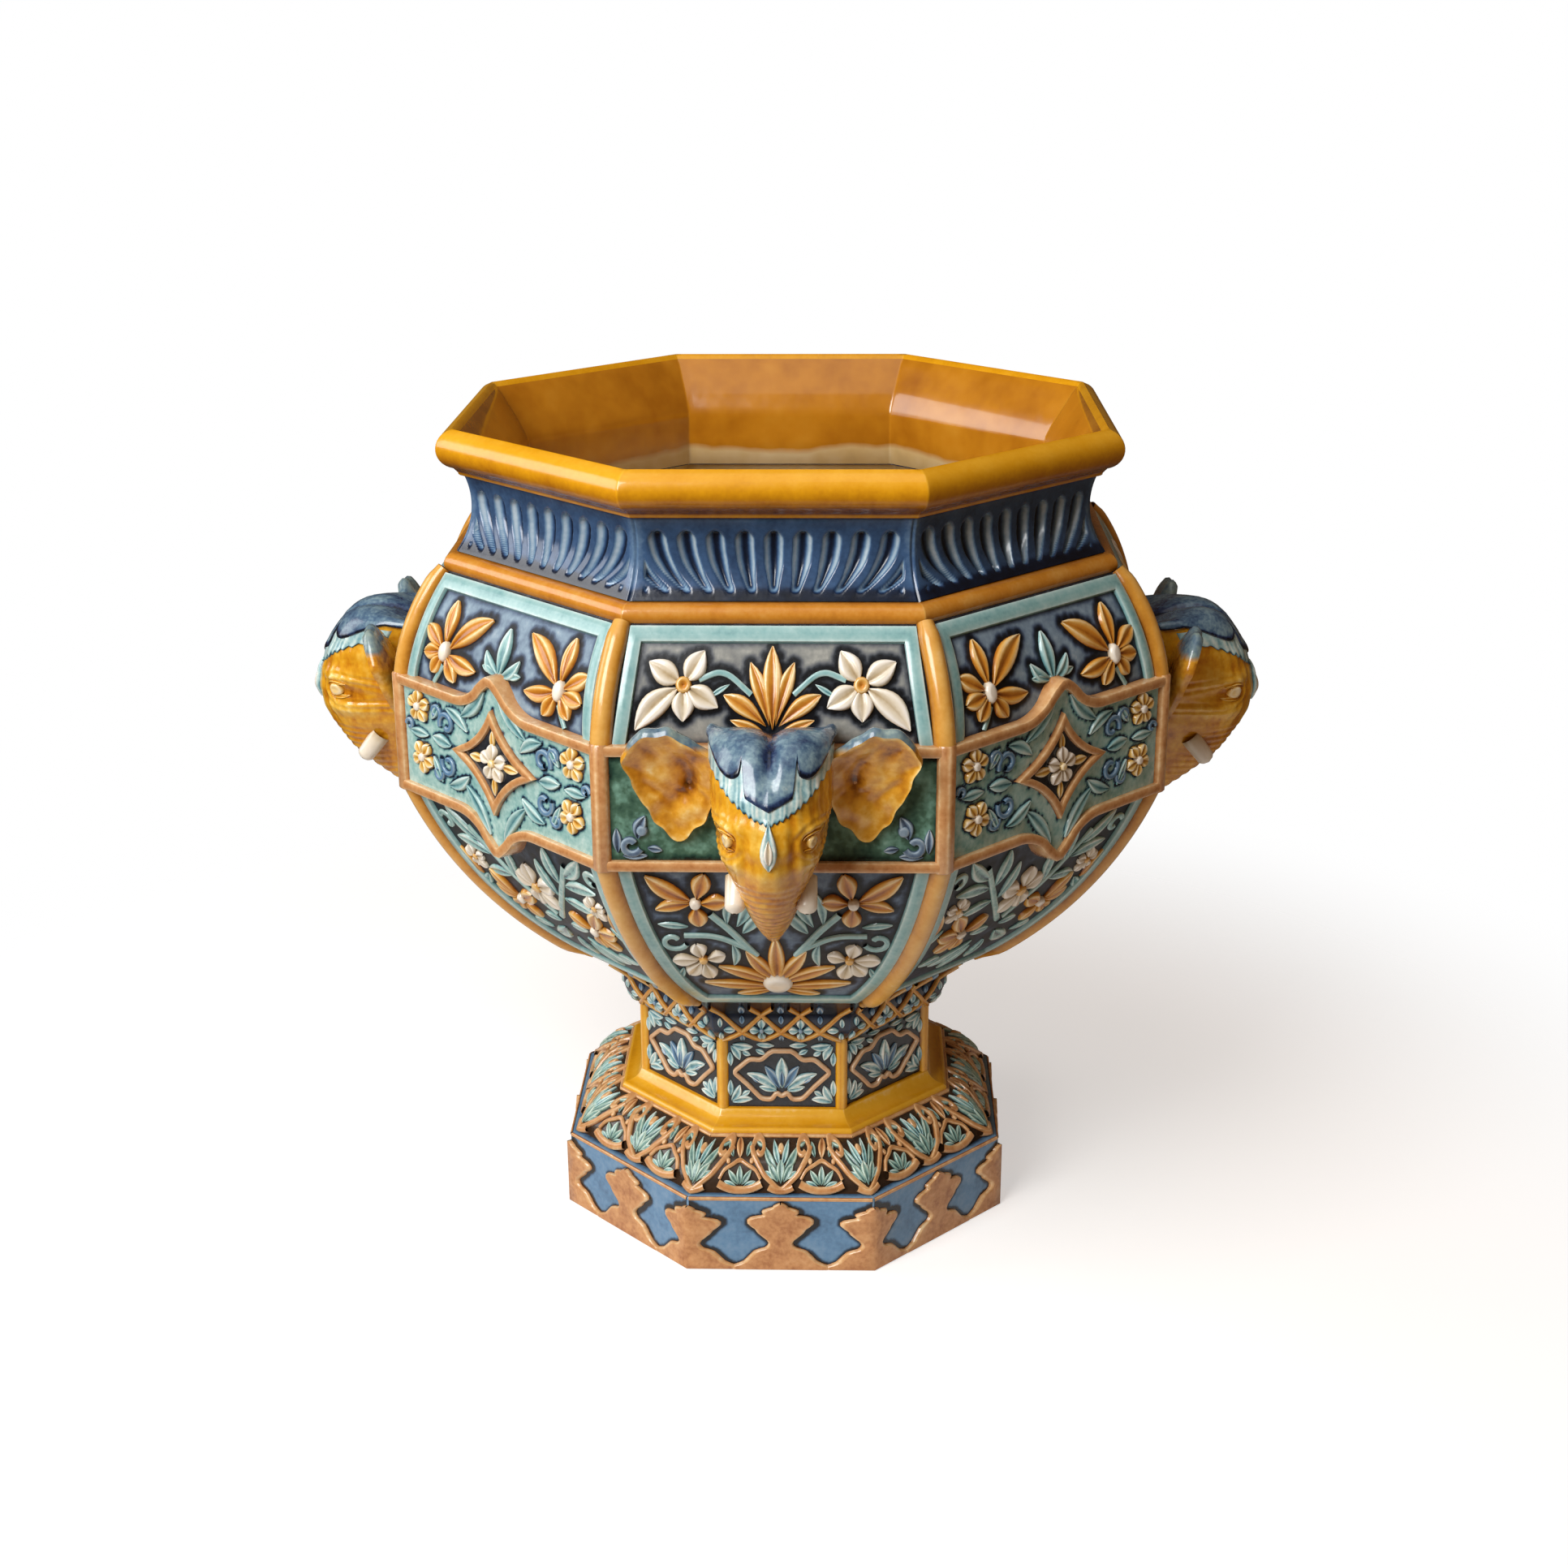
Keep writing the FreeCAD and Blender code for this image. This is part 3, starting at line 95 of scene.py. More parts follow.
def grid_quads(rows, columns, wrap=False):
    """Corner numbers of the cells of a grid, where wrap joins the last column to the first."""
    row = np.arange(rows - 1)[:, None]
    column = np.arange(columns if wrap else columns - 1)[None, :]
    after = (column + 1) % columns
    corners = (row * columns + column, row * columns + after,
               (row + 1) * columns + after, (row + 1) * columns + column)
    return np.stack(np.broadcast_arrays(*corners), axis=-1).reshape(-1, 4)


def patch_of(points, rise, wrap=False):
    """One grid of (rows, columns, 3) points and its rise, ready to be joined with others."""
    rows, columns = points.shape[:2]
    values = np.broadcast_to(rise, (rows, columns)).ravel()
    return {"points": points.reshape(-1, 3), "rise": values, "quads": grid_quads(rows, columns, wrap)}


def spun(out, side, level, turn):
    """Points this far out from the axis, to the side and up, turned so that out looks in direction turn."""
    cos, sin = math.cos(turn), math.sin(turn)
    return np.stack([out * cos - side * sin, out * sin + side * cos, level], axis=-1)


def turned(patch, angle):
    """The same patch turned about the pot's axis."""
    return {**patch, "points": spun(*patch["points"].T, angle)}


def add_piece(name, patches, glaze, slot, *nodes, sharp=None):
    """Join patches into one mesh at the origin, glaze it and fix it to the pot."""
    counts = [len(patch["points"]) for patch in patches]
    starts = np.concatenate([[0], np.cumsum(counts)[:-1]])
    points = np.concatenate([patch["points"] for patch in patches]) * MILLIMETRE
    quads = np.concatenate([patch["quads"] + start for patch, start in zip(patches, starts)])
    rise = np.concatenate([patch["rise"] for patch in patches]).astype(np.float32)
    mesh = bpy.data.meshes.new(f"glazed_{name}")
    mesh.from_pydata(points.tolist(), [], quads.tolist())
    mesh.attributes.new("rise", "FLOAT", "POINT").data.foreach_set("value", rise)
    mesh.shade_smooth()
    if sharp is not None:
        mesh.set_sharp_from_angle(angle=math.radians(sharp))
    mesh.materials.append(glaze)
    piece = bpy.data.objects.new(f"glazed_{name}", mesh)
    bpy.context.scene.collection.objects.link(piece)
    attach(piece, "root")
    if nodes:
        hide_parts(*nodes)
    print(name, len(points), "points", len(quads), "faces")


print("a grid of 3 rows and 4 columns has", len(grid_quads(3, 4)), "cells")

# %% Arcs, softened corners and soft steps


def bow(start, end, bulge, count=13):
    """Points of the circular arc from start to end that bows to its right by the bulge."""
    start, end = np.array(start, float), np.array(end, float)
    chord = end - start
    length = np.hypot(*chord)
    if abs(bulge) < 1e-6:
        return start + np.linspace(0, 1, count)[:, None] * chord
    right = np.array([chord[1], -chord[0]]) / length
    half_angle = 2 * math.atan(2 * bulge / length)
    radius = length / 2 / math.sin(half_angle)
    centre = (start + end) / 2 - right * radius * math.cos(half_angle)
    spread = np.linspace(-half_angle, half_angle, count)[:, None]
    along = chord / length
    return centre + radius * (np.sin(spread) * along + np.cos(spread) * right)


def softened(points, radius, steps=5):
    """An open line whose inner corners become short parabolas that start `radius` before the corner."""
    points = np.array(points, float)
    share = np.linspace(0, 1, steps)[:, None]
    curves = [points[:1]]
    for before, corner, after in zip(points[:-2], points[1:-1], points[2:]):
        back, forth = before - corner, after - corner
        start = corner + back * min(radius / np.linalg.norm(back[:2]), 0.45)
        end = corner + forth * min(radius / np.linalg.norm(forth[:2]), 0.45)
        curves.append((1 - share) ** 2 * start + 2 * share * (1 - share) * corner + share ** 2 * end)
    return np.concatenate(curves + [points[-1:]])


def smooth_step(low, high, value):
    """Zero below low, one above high, and an S-shaped passage between them."""
    share = np.clip((value - low) / (high - low), 0, 1)
    return share * share * (3 - 2 * share)


print("the middle of an arc that bows by 2 to its right:", bow((0, 0), (10, 0), 2.0, 3)[1])

# %% [markdown]
# ## Glazes
#
# A lead glaze is a smooth coloured glass over pale clay. The eye sees three things: a colour that is deep
# where the glass is thick and pale where it is thin, slow drifts of tone from uneven brushing, and a
# sharp wet highlight from the glass surface. The material follows them: a colour ramp over the rise, two
# noises that push the ramp about, and a clear coat. Only the blue slate ground is matt, so it has no
# coat. Sizes of the noises are given in millimetres. A painted picture could be wrapped round the pot
# instead, but it would not know where the hollows are. The finer noise stands for brush marks and
# pinholes. Real ones are often under a millimetre and would not show in the render, so on the outside
# they are drawn 2 to 3.5 mm wide.

# %% Colours and nodes


def linear(hex_colour):
    """An sRGB hex colour as linear red, green, blue and alpha."""
    parts = np.array([int(hex_colour[i:i + 2], 16) for i in (1, 3, 5)]) / 255
    lin = np.where(parts <= 0.04045, parts / 12.92, ((parts + 0.055) / 1.055) ** 2.4)
    return (*lin, 1.0)


def add_node(tree, kind, links=None, inputs=None, **settings):
    """Add a node, set its properties and input values, and link its inputs to other nodes' outputs."""
    node = tree.nodes.new(kind)
    for name, value in settings.items():
        setattr(node, name, value)
    for name, value in (inputs or {}).items():
        node.inputs[name].default_value = value
    for name, output in (links or {}).items():
        tree.links.new(output, node.inputs[name])
    return node


def set_ramp(ramp, stops):
    """Give a colour ramp these (place, hex colour) stops."""
    elements = ramp.color_ramp.elements
    while len(elements) < len(stops):
        elements.new(0.5)
    for element, (place, colour) in zip(elements, stops):
        element.position = place
        element.color = linear(colour)


print("middle grey in linear light:", round(float(linear("#808080")[0]), 3))

# %% How a lead glaze is made
GLAZE_IOR, COAT_IOR, COAT_ROUGHNESS = 1.5, 1.55, 0.06
# In metres: the depth of the ripples, and half the width of the soft edge between two glazes.
RIPPLE_DEPTH, GLAZE_EDGE = 0.0012, 0.002


def lead_glaze(name, stops, drift_mm=18.0, drift=0.35, grain_mm=2.5, grain=0.16, roughness=0.24, coat=0.35,
               ripple=0.25, run=1.0, under=None):
    """Coloured lead glaze: the ramp runs from pooled glass (0) over its body to thin glass on edges (1).

    Ripple is the strength of its waviness. A run below one draws the drifts out downward, as running glaze.
    Under gives the stops of a second glaze, the level in metres where it ends, and how far its edge waves.
    """
    material = bpy.data.materials.new(name)
    material.use_nodes = True
    tree = material.node_tree
    shader = tree.nodes["Principled BSDF"]
    place = add_node(tree, "ShaderNodeTexCoord")
    rise = add_node(tree, "ShaderNodeAttribute", attribute_name="rise")
    drawn = add_node(tree, "ShaderNodeMapping", {"Vector": place.outputs["Object"]},
                     {"Scale": (1.0, 1.0, run)})
    slow = add_node(tree, "ShaderNodeTexNoise", {"Vector": drawn.outputs["Vector"]},
                    {"Scale": 1000 / drift_mm, "Detail": 3.0, "Roughness": 0.55})
    fine = add_node(tree, "ShaderNodeTexNoise", {"Vector": place.outputs["Object"]},
                    {"Scale": 1000 / grain_mm, "Detail": 2.0})
    moved = add_node(tree, "ShaderNodeMath", {0: slow.outputs["Fac"], 2: rise.outputs["Fac"]},
                     {1: drift}, operation="MULTIPLY_ADD")
    grained = add_node(tree, "ShaderNodeMath", {0: fine.outputs["Fac"], 2: moved.outputs[0]},
                       {1: grain}, operation="MULTIPLY_ADD")
    centred = add_node(tree, "ShaderNodeMath", {0: grained.outputs[0]},
                       {1: (drift + grain) / 2}, operation="SUBTRACT")
    ramp = add_node(tree, "ShaderNodeValToRGB", {"Fac": centred.outputs[0]})
    set_ramp(ramp, stops)
    colour = ramp.outputs["Color"]
    if under:
        under_stops, level, wave = under
        under_ramp = add_node(tree, "ShaderNodeValToRGB", {"Fac": centred.outputs[0]})
        set_ramp(under_ramp, under_stops)
        height = add_node(tree, "ShaderNodeSeparateXYZ", {"Vector": place.outputs["Object"]})
        edge = add_node(tree, "ShaderNodeMath", {0: slow.outputs["Fac"], 2: height.outputs["Z"]},
                        {1: 2 * wave}, operation="MULTIPLY_ADD")
        over = add_node(tree, "ShaderNodeMapRange", {"Value": edge.outputs[0]},
                        {"From Min": level + wave - GLAZE_EDGE, "From Max": level + wave + GLAZE_EDGE})
        sources = {0: over.outputs["Result"], 6: under_ramp.outputs["Color"], 7: colour}
        mixed = add_node(tree, "ShaderNodeMix", sources, data_type="RGBA")
        colour = mixed.outputs[2]
    bump = add_node(tree, "ShaderNodeBump", {"Height": slow.outputs["Fac"]},
                    {"Strength": ripple, "Distance": RIPPLE_DEPTH})
    tree.links.new(colour, shader.inputs["Base Color"])
    tree.links.new(bump.outputs["Normal"], shader.inputs["Normal"])
    shader.inputs["Roughness"].default_value = roughness
    shader.inputs["IOR"].default_value = GLAZE_IOR
    shader.inputs["Coat Weight"].default_value = coat
    shader.inputs["Coat Roughness"].default_value = COAT_ROUGHNESS
    shader.inputs["Coat IOR"].default_value = COAT_IOR
    return material


print("IOR of the glass and of its clear coat:", GLAZE_IOR, COAT_IOR)

# %% The glazes of the pot
# Iron in a lead glaze: a warm mustard yellow, brown where it pools and straw-pale on the edges.
ochre = lead_glaze("ochre_lead_glaze", [
    (0.0, "#5e2e04"), (0.3, "#b5730a"), (0.55, "#d9980f"), (0.8, "#e8ae30"), (1.0, "#f3d28a")])
# Copper in a lead glaze: a milky turquoise that goes pale on every crest.
turquoise = lead_glaze("turquoise_copper_glaze", [
    (0.0, "#122a38"), (0.25, "#4a7c84"), (0.5, "#85b0b0"), (0.75, "#a9c9c7"), (1.0, "#d3e3de")],
    drift_mm=14.0, drift=0.45, grain_mm=2.6, grain=0.25)
# Cobalt: a blue that is nearly black in hollows and grey-blue where the clay shows through.
cobalt = lead_glaze("cobalt_blue_glaze", [
    (0.0, "#070d18"), (0.25, "#152640"), (0.5, "#3c5a80"), (0.75, "#7796b0"), (1.0, "#c3d3db")])
# A blue-grey ground, brushed on thinly: it reads as shade behind the relief.
slate = lead_glaze("slate_blue_ground_glaze", [
    (0.0, "#0a0d12"), (0.22, "#2c3138"), (0.5, "#62666a"), (0.75, "#888a86"), (1.0, "#b3b3aa")],
    drift_mm=14.0, drift=0.5, grain_mm=3.0, grain=0.3)
# The same ground with more blue, and matt, so that it stays back behind the shiny flowers.
blue_slate = lead_glaze("blue_slate_ground_glaze", [
    (0.0, "#070b13"), (0.22, "#202b3e"), (0.5, "#51647c"), (0.75, "#8197a8"), (1.0, "#b3bfc6")],
    drift_mm=14.0, drift=0.5, grain_mm=3.0, grain=0.3, roughness=0.5, coat=0.0)
# A thin yellow glaze: cream on the crests and toffee brown in the veins.
cream = lead_glaze("cream_yellow_glaze", [
    (0.0, "#4a2608"), (0.25, "#b97a22"), (0.5, "#dcae52"), (0.75, "#edd193"), (1.0, "#f8f0dc")],
    drift_mm=9.0, drift=0.5)
# Copper glaze brushed on unevenly: pale blue-green with dark strokes.
aqua = lead_glaze("brushed_aqua_glaze", [
    (0.0, "#0e1526"), (0.2, "#35556a"), (0.42, "#79a9a6"), (0.7, "#a8cac5"), (1.0, "#d8e3dd")],
    drift_mm=11.0, drift=0.8, grain_mm=2.6, grain=0.45)
# A brown glaze so thin that the warm clay shows on the edges.
terracotta = lead_glaze("terracotta_brown_glaze", [
    (0.0, "#3c1c0d"), (0.25, "#94592f"), (0.5, "#bf8855"), (0.75, "#d2a36f"), (1.0, "#ecd0a4")],
    drift_mm=9.0, drift=0.6, grain_mm=2.6, grain=0.35)
# Copper green in thick and thin patches: mottled, with dark clouds.
green = lead_glaze("copper_green_glaze", [
    (0.0, "#0a1714"), (0.25, "#29473c"), (0.5, "#496a58"), (0.72, "#74a08f"), (1.0, "#a9cbbb")],
    drift_mm=13.0, drift=1.3, grain_mm=3.0, grain=0.35)
# Honey-coloured iron glaze: deeper and redder than the ochre.
gold = lead_glaze("honey_gold_glaze", [
    (0.0, "#321705"), (0.25, "#9c5713"), (0.5, "#c9842a"), (0.75, "#dcaa58"), (1.0, "#f3dcab")])
# White tin glaze: an opaque ivory, with brown in the finest hollows.
ivory = lead_glaze("ivory_tin_glaze", [
    (0.0, "#4a3a26"), (0.25, "#b7a27e"), (0.5, "#dcd0b8"), (0.75, "#ebe3d3"), (1.0, "#f8f4ec")])
print("glazes:", len(bpy.data.materials))

# %% [markdown]
# ## Mouldings round the octagon
#
# The plinth, foot, stem, bowl, neck and rim are mouldings: one section carried round an octagon. A potter
# sponges the mitres, so the corners are a little rounded. Each point of the section makes its own rounded
# octagon: straight flats, and at each corner an arc whose middle lies on the line to the corner. A curve
# with a bevel object could sweep a section as well. The formula was chosen, because it keeps the flats
# flat and rounds only the corners.

# %% Carry a section round


def moulding(section, radius=2.5, edge_rise=0.12):
    """Carry a section of (face, level, rise) points round the pot.

    A corner arc of this radius has its middle at (face - radius) / cos(22.5 degrees) on the corner's line.
    Between arcs run straight flats. The glaze is thinner by edge_rise on the arcs.
    """
    section = np.array(section, float)
    face, level, rise = (section[:, i][:, None, None] for i in range(3))
    corner = (np.arange(FLATS) * 2 + 1)[:, None] * HALF_TURN
    arc = np.linspace(-1, 1, 5)
    sweep = arc[None, :] * HALF_TURN
    radius = np.minimum(radius, face * 0.5)
    reach = (face - radius) / math.cos(HALF_TURN)
    arc_x = reach * np.cos(corner) + radius * np.cos(corner + sweep)
    arc_y = reach * np.sin(corner) + radius * np.sin(corner + sweep)
    share = np.array([0.025, 0.15, 0.38, 0.62, 0.85, 0.975])
    ends_x, ends_y = arc_x[:, :, -1:], arc_y[:, :, -1:]
    next_x, next_y = np.roll(arc_x, -1, axis=1)[:, :, :1], np.roll(arc_y, -1, axis=1)[:, :, :1]
    x = np.concatenate([arc_x, ends_x + share * (next_x - ends_x)], axis=2)
    y = np.concatenate([arc_y, ends_y + share * (next_y - ends_y)], axis=2)
    thin = np.concatenate([edge_rise * np.cos(arc * 1.5), np.zeros(len(share))])
    rows = len(section)
    points = np.stack(np.broadcast_arrays(x, y, level), axis=-1).reshape(rows, -1, 3)
    values = np.broadcast_to(rise + thin[None, None, :], x.shape).reshape(rows, -1)
    return patch_of(points, values, wrap=True)


def with_rise(points, rise):
    """Add one rise value to plain (face, level) points."""
    points = np.atleast_2d(np.array(points, float))
    return np.column_stack([points, np.full(len(points), float(rise))])


print("a moulding of two rings has", len(moulding([(10, 0, 0), (10, 1, 0)])["quads"]), "faces")

# %% [markdown]
# ### Rim, shoulder ring and neck
#
# The rim is a fat roll with a small step under it, and its top slopes down into the mouth. Below it the
# neck is a hollow blue band. The ochre glaze of the roll goes from dark at its underside to pale at its
# top: partly thick and thin glaze, and partly painted shade below and a painted highlight above. Each
# curved part of a section is a bow between two points, since two ends and a bulge are what can be
# measured on such a pot.

# %% Rim
roll = bow((183.0, 477.5), (184.5, 498.6), 8.0, 15)
rim_section = np.concatenate([
    with_rise([(165.0, 473.2), (179.5, 473.2)], 0.2),
    with_rise([(180.2, 473.7), (180.4, 474.6)], 0.45),
    with_rise([(181.6, 476.0)], 0.1),
    # Dark at the roll's underside and pale at its top: thick and thin glaze, with painted shade and a painted
    # highlight.
    np.column_stack([roll, 0.16 + 0.5 * smooth_step(0.0, 0.9, np.linspace(0, 1, len(roll)))]),
    with_rise([(182.8, 499.5), (180.6, 498.6), (178.4, 495.4)], 0.55),
    with_rise([(172.0, 485.5), (166.3, 476.0), (165.0, 474.6), (165.0, 473.2)], 0.5),
])
add_piece("rim", [moulding(rim_section, 2.2)], ochre, "ochre_glaze", "rim", sharp=50)

# %% Shoulder ring
ring_curve = bow((189.8, 419.8), (183.6, 429.4), 3.4, 9)
ring_section = np.concatenate([
    with_rise([(168.0, 420.2)], 0.3), with_rise([(188.8, 419.6)], 0.15),
    np.column_stack([ring_curve, 0.34 + 0.2 * np.sin(np.linspace(0, 3.1, 9))]),
    with_rise([(181.6, 429.5)], 0.6), with_rise([(168.0, 429.5), (168.0, 420.2)], 0.4),
])
add_piece("shoulder_ring", [moulding(ring_section, 1.8)], gold, "ochre_glaze", "shoulder_ring", sharp=50)

# %% Neck
neck_curve = bow((NECK_LOW_FACE, RING_TOP), (NECK_TOP_FACE, NECK_TOP), -6.0, 17)
neck_level = neck_curve[:, 1]
neck_rise = 0.22 + 0.3 * smooth_step(430, 441, neck_level) + 0.1 * smooth_step(462, 468, neck_level)
neck_section = np.concatenate([np.column_stack([neck_curve - [3.8, 0.0], neck_rise]),
                               with_rise([(167.0, NECK_TOP), (163.0, RING_TOP)], 0.4)])
add_piece("neck", [moulding(neck_section, 2.0, 0.25)], cobalt, "cobalt_glaze", "neck", sharp=50)

# %% [markdown]
# ### Inside of the bowl
#
# The glaze was poured in at the mouth and ran down: it is ochre as far as it reached, with a wavy edge,
# and the bare biscuit below is beige. One material does both, by the level of the point and a slow noise.
# Two meshes would leave a hard, straight border.

# %% Inside
BISCUIT = [(0.0, "#8d7040"), (0.4, "#d0b27a"), (0.7, "#e8d4a8"), (1.0, "#f4ead2")]
inside = lead_glaze("poured_ochre_glaze", [
    (0.0, "#5f3204"), (0.3, "#9c5c08"), (0.55, "#bd7b18"), (0.8, "#d0942e"), (1.0, "#e6bd73")],
    drift_mm=45.0, drift=0.6, grain_mm=12.0, grain=0.25, roughness=0.2, coat=0.8,
    ripple=1.0, run=0.6, under=(BISCUIT, 0.441, 0.006))

mouth_line = [(181.4, 498.4), (177.6, 495.4), (165.4, 476.2), (159.8, 465.5), (159.8, 452.0), (160.2, 431.0)]
upper_inner = bow((176.5, SHOULDER_TOP), (BELLY_INNER, BELT_TOP), -4.4, 9)
lower_inner = bow((BELLY_INNER, BELT_LOW), (110.0, 183.5), -12.0, 17)
inside_line = np.concatenate([
    softened(mouth_line, 4.0), [(167.7, RING_TOP - 1), (167.7, 421.0)], upper_inner, [(BELLY_INNER, 340.0)],
    lower_inner, [(85.0, FLOOR_TOP), (40.0, FLOOR_TOP), (1.0, FLOOR_TOP)]])
add_piece("bowl_inside", [moulding(with_rise(inside_line, 0.5), 3.0, 0.08)], inside, "ivory_glaze",
          "bowl_floor", "lower_bowl", "upper_bowl")

# %% [markdown]
# ### Outside of the bowl
#
# Behind the panels the bowl is one dark wall, with one low rise all over.
# It is one moulding and not eight panels, so that no gap can open at a corner.

# %% Outside
lower_curve = bow((PANEL_LOW_FACE, PANEL_LOW), (BELLY_FACE, BELT_LOW), 12.5, 33)
upper_curve = bow((BELLY_FACE, BELT_TOP), (SHOULDER_FACE, SHOULDER_TOP), 4.4, 21)
outside_line = np.concatenate([[(90.0, COLLAR_TOP), (BASE_FACE, COLLAR_TOP)], lower_curve, upper_curve,
                               [(170.0, SHOULDER_TOP)]])
add_piece("bowl_outside", [moulding(with_rise(outside_line, 0.18), 1.0, 0.0)], slate, "slate_glaze",
          "lower_bowl", "upper_bowl")

# %% [markdown]
# ### Foot
#
# The foot is hollow and steps out in four members: a bulging collar, an eight-sided stem, an ochre
# cavetto and a sloping skirt over the plinth. The stem is upright, the other outer lines are arcs,
# and the inner lines are plain. Each section is a closed line, so that the members are full walls and no
# light comes through the joints between them.

# %% Collar and stem
collar_curve = bow((COLLAR_LOW_FACE, STEM_TOP), (BASE_FACE, COLLAR_TOP), 4.0, 13)
collar_line = np.concatenate([[(FOOT_INNER, STEM_TOP), (COLLAR_LOW_FACE - 1, STEM_TOP)], collar_curve,
                              [(FOOT_INNER, COLLAR_TOP), (FOOT_INNER, STEM_TOP)]])
add_piece("lattice_collar", [moulding(with_rise(collar_line, 0.12), 2.0)], cobalt, "cobalt_glaze",
          "lattice_collar", sharp=50)
stem_line = [(FOOT_INNER, CAVETTO_TOP), (STEM_FACE, CAVETTO_TOP), (STEM_FACE, STEM_TOP),
             (FOOT_INNER, STEM_TOP), (FOOT_INNER, CAVETTO_TOP)]
add_piece("stem", [moulding(with_rise(stem_line, 0.12), 1.5)], slate, "slate_glaze", "stem", sharp=50)

# %% Cavetto
cavetto_section = np.concatenate([
    with_rise([(FOOT_INNER, SKIRT_TOP), (101.8, SKIRT_TOP)], 0.3),
    with_rise([(102.6, 74.0), (102.4, 75.6), (101.0, 76.6)], 0.75),
    np.column_stack([bow((100.2, 77.0), (90.6, 84.0), -1.8, 9), np.linspace(0.5, 0.85, 9)]),
    with_rise([(89.6, 84.6), (FOOT_INNER, CAVETTO_TOP), (FOOT_INNER, SKIRT_TOP)], 0.5),
])
add_piece("stem_cavetto", [moulding(cavetto_section, 1.6)], ochre, "ochre_glaze", "stem_cavetto", sharp=50)

# %% Wall of the skirt
skirt_curve = bow((SKIRT_LOW_FACE, PLINTH_TOP), (SKIRT_TOP_FACE, SKIRT_TOP), 5.0, 15)
skirt_line = np.concatenate([[(114.0, PLINTH_TOP), (SKIRT_LOW_FACE - 0.5, PLINTH_TOP)], skirt_curve,
                             [(86.0, SKIRT_TOP), (114.0, PLINTH_TOP)]])
# Umber ground: nearly black in the hollows, so that the pale leaves stand out from it.
skirt_ground = lead_glaze("umber_ground_glaze", [
    (0.0, "#1a120c"), (0.3, "#4a3524"), (0.6, "#7d6044"), (1.0, "#a98a62")])
add_piece("foot_skirt", [moulding(with_rise(skirt_line, 0.15), 2.0)], skirt_ground, "turquoise_glaze",
          "foot_skirt", sharp=50)

# %% Block of the plinth
plinth_section = np.concatenate([
    with_rise([(PLINTH_INNER, 0.0), (PLINTH_FACE - 1, 0.0)], 0.3),
    with_rise([(PLINTH_FACE, level) for level in (1.0, 12.0, 24.0, 36.0, 46.4)], 0.5),
    with_rise([(134.0, 47.6), (133.0, PLINTH_TOP)], 0.6),
    with_rise([(129.6, PLINTH_TOP), (PLINTH_INNER, PLINTH_TOP), (PLINTH_INNER, 0.0)], 0.3),
])
# A soft grey-blue, nearly black where it pools beside the trefoils and where their shadow is painted.
plinth_blue = lead_glaze("grey_blue_glaze", [
    (0.0, "#05090f"), (0.22, "#27425c"), (0.5, "#5a81a3"), (0.75, "#7d9ab2"), (1.0, "#b4c1c4")],
    drift_mm=20.0, drift=0.55, grain_mm=3.0, grain=0.25)
add_piece("plinth", [moulding(plinth_section, 1.6, 0.2)], plinth_blue, "cobalt_glaze", "plinth", sharp=50)

# %% [markdown]
# ## Relief
#
# The mould maker carves the flowers, bands and frames into the plaster, so in the pot they stand up from
# the wall by a few millimetres. A *wall* here is the upright section of a flat. A point of relief is told
# by how far it is across the flat, its level, and its lift above the wall. Displacement by a height map
# could raise it too, but the steep edge of a petal would need a very fine mesh, so each petal or band is
# a small grid of its own.

# %% A wall


class Wall:
    """One flat of the octagon, given by its upright section of (face, level) points."""

    def __init__(self, section):
        self.faces, self.levels = np.array(section, float).T
        self.slopes = np.gradient(self.faces, self.levels)

    def face(self, level):
        """Distance from the axis to the wall at this level."""
        return np.interp(level, self.levels, self.faces)

    def half_side(self, level):
        """Half the width of the flat at this level."""
        return self.face(level) * HALF_SIDE

    def points(self, across, level, lift, turn):
        """Places in space on the flat that looks in direction turn. The lift is square to the section."""
        slope = np.interp(level, self.levels, self.slopes)
        steep = np.hypot(1, slope)
        return spun(self.face(level) + lift / steep, across, level - lift * slope / steep, turn)


print("a leaning wall is", Wall([(10, 0), (12, 5)]).face(2.5), "mm out at half its height")

# %% How relief is laid on a wall


def shape(across, level, lift, rise, wrap=False):
    """A grid of relief points with its rise."""
    names = ("across", "level", "lift", "rise")
    return {**dict(zip(names, np.broadcast_arrays(across, level, lift, rise))), "wrap": wrap}


def mirrored(shapes):
    """The shapes reflected in the flat's middle line, with columns reversed so that they still face out."""
    images = []
    for each in shapes:
        copy = {name: each[name][:, ::-1] for name in ("across", "level", "lift", "rise")}
        copy["across"] = -copy["across"]
        images.append({**copy, "wrap": each["wrap"]})
    return images


def pair(*shapes):
    """The shapes and their mirror images."""
    return list(shapes) + mirrored(shapes)


def shifted(shapes, along):
    """The shapes moved this far across the flat."""
    return [{**each, "across": each["across"] + along} for each in shapes]


def lay(wall, shapes, turns):
    """Patches of the shapes on each flat that looks in one of the turns."""
    patches = []
    for turn in turns:
        for each in shapes:
            points = wall.points(each["across"], each["level"], each["lift"], turn)
            patches.append(patch_of(points, each["rise"], each["wrap"]))
    return patches


def add_relief(name, wall, shapes, turns, glaze, slot, *nodes, sharp=None):
    """One piece that has these shapes on each flat that looks in one of the turns."""
    add_piece(name, lay(wall, shapes, turns), glaze, slot, *nodes, sharp=sharp)


def walked(corners, step=4.0):
    """The line through the corners with points added about every step."""
    corners = np.array(corners, float)
    pieces = []
    for start, end in zip(corners[:-1], corners[1:]):
        count = max(int(np.hypot(*(end - start)) / step), 1)
        pieces.append(start + np.arange(count)[:, None] / count * (end - start))
    return np.concatenate(pieces + [corners[-1:]])


print("a walk of 10 mm in steps of 4 has", len(walked([(0, 0), (10, 0)])), "points")

# %% [markdown]
# A petal and a leaf are the same thing to a carver: a pointed oval with a raised rim and a dished middle. A
# ribbon is a raised band along a line, mitred at its corners. A bead is a small round boss.

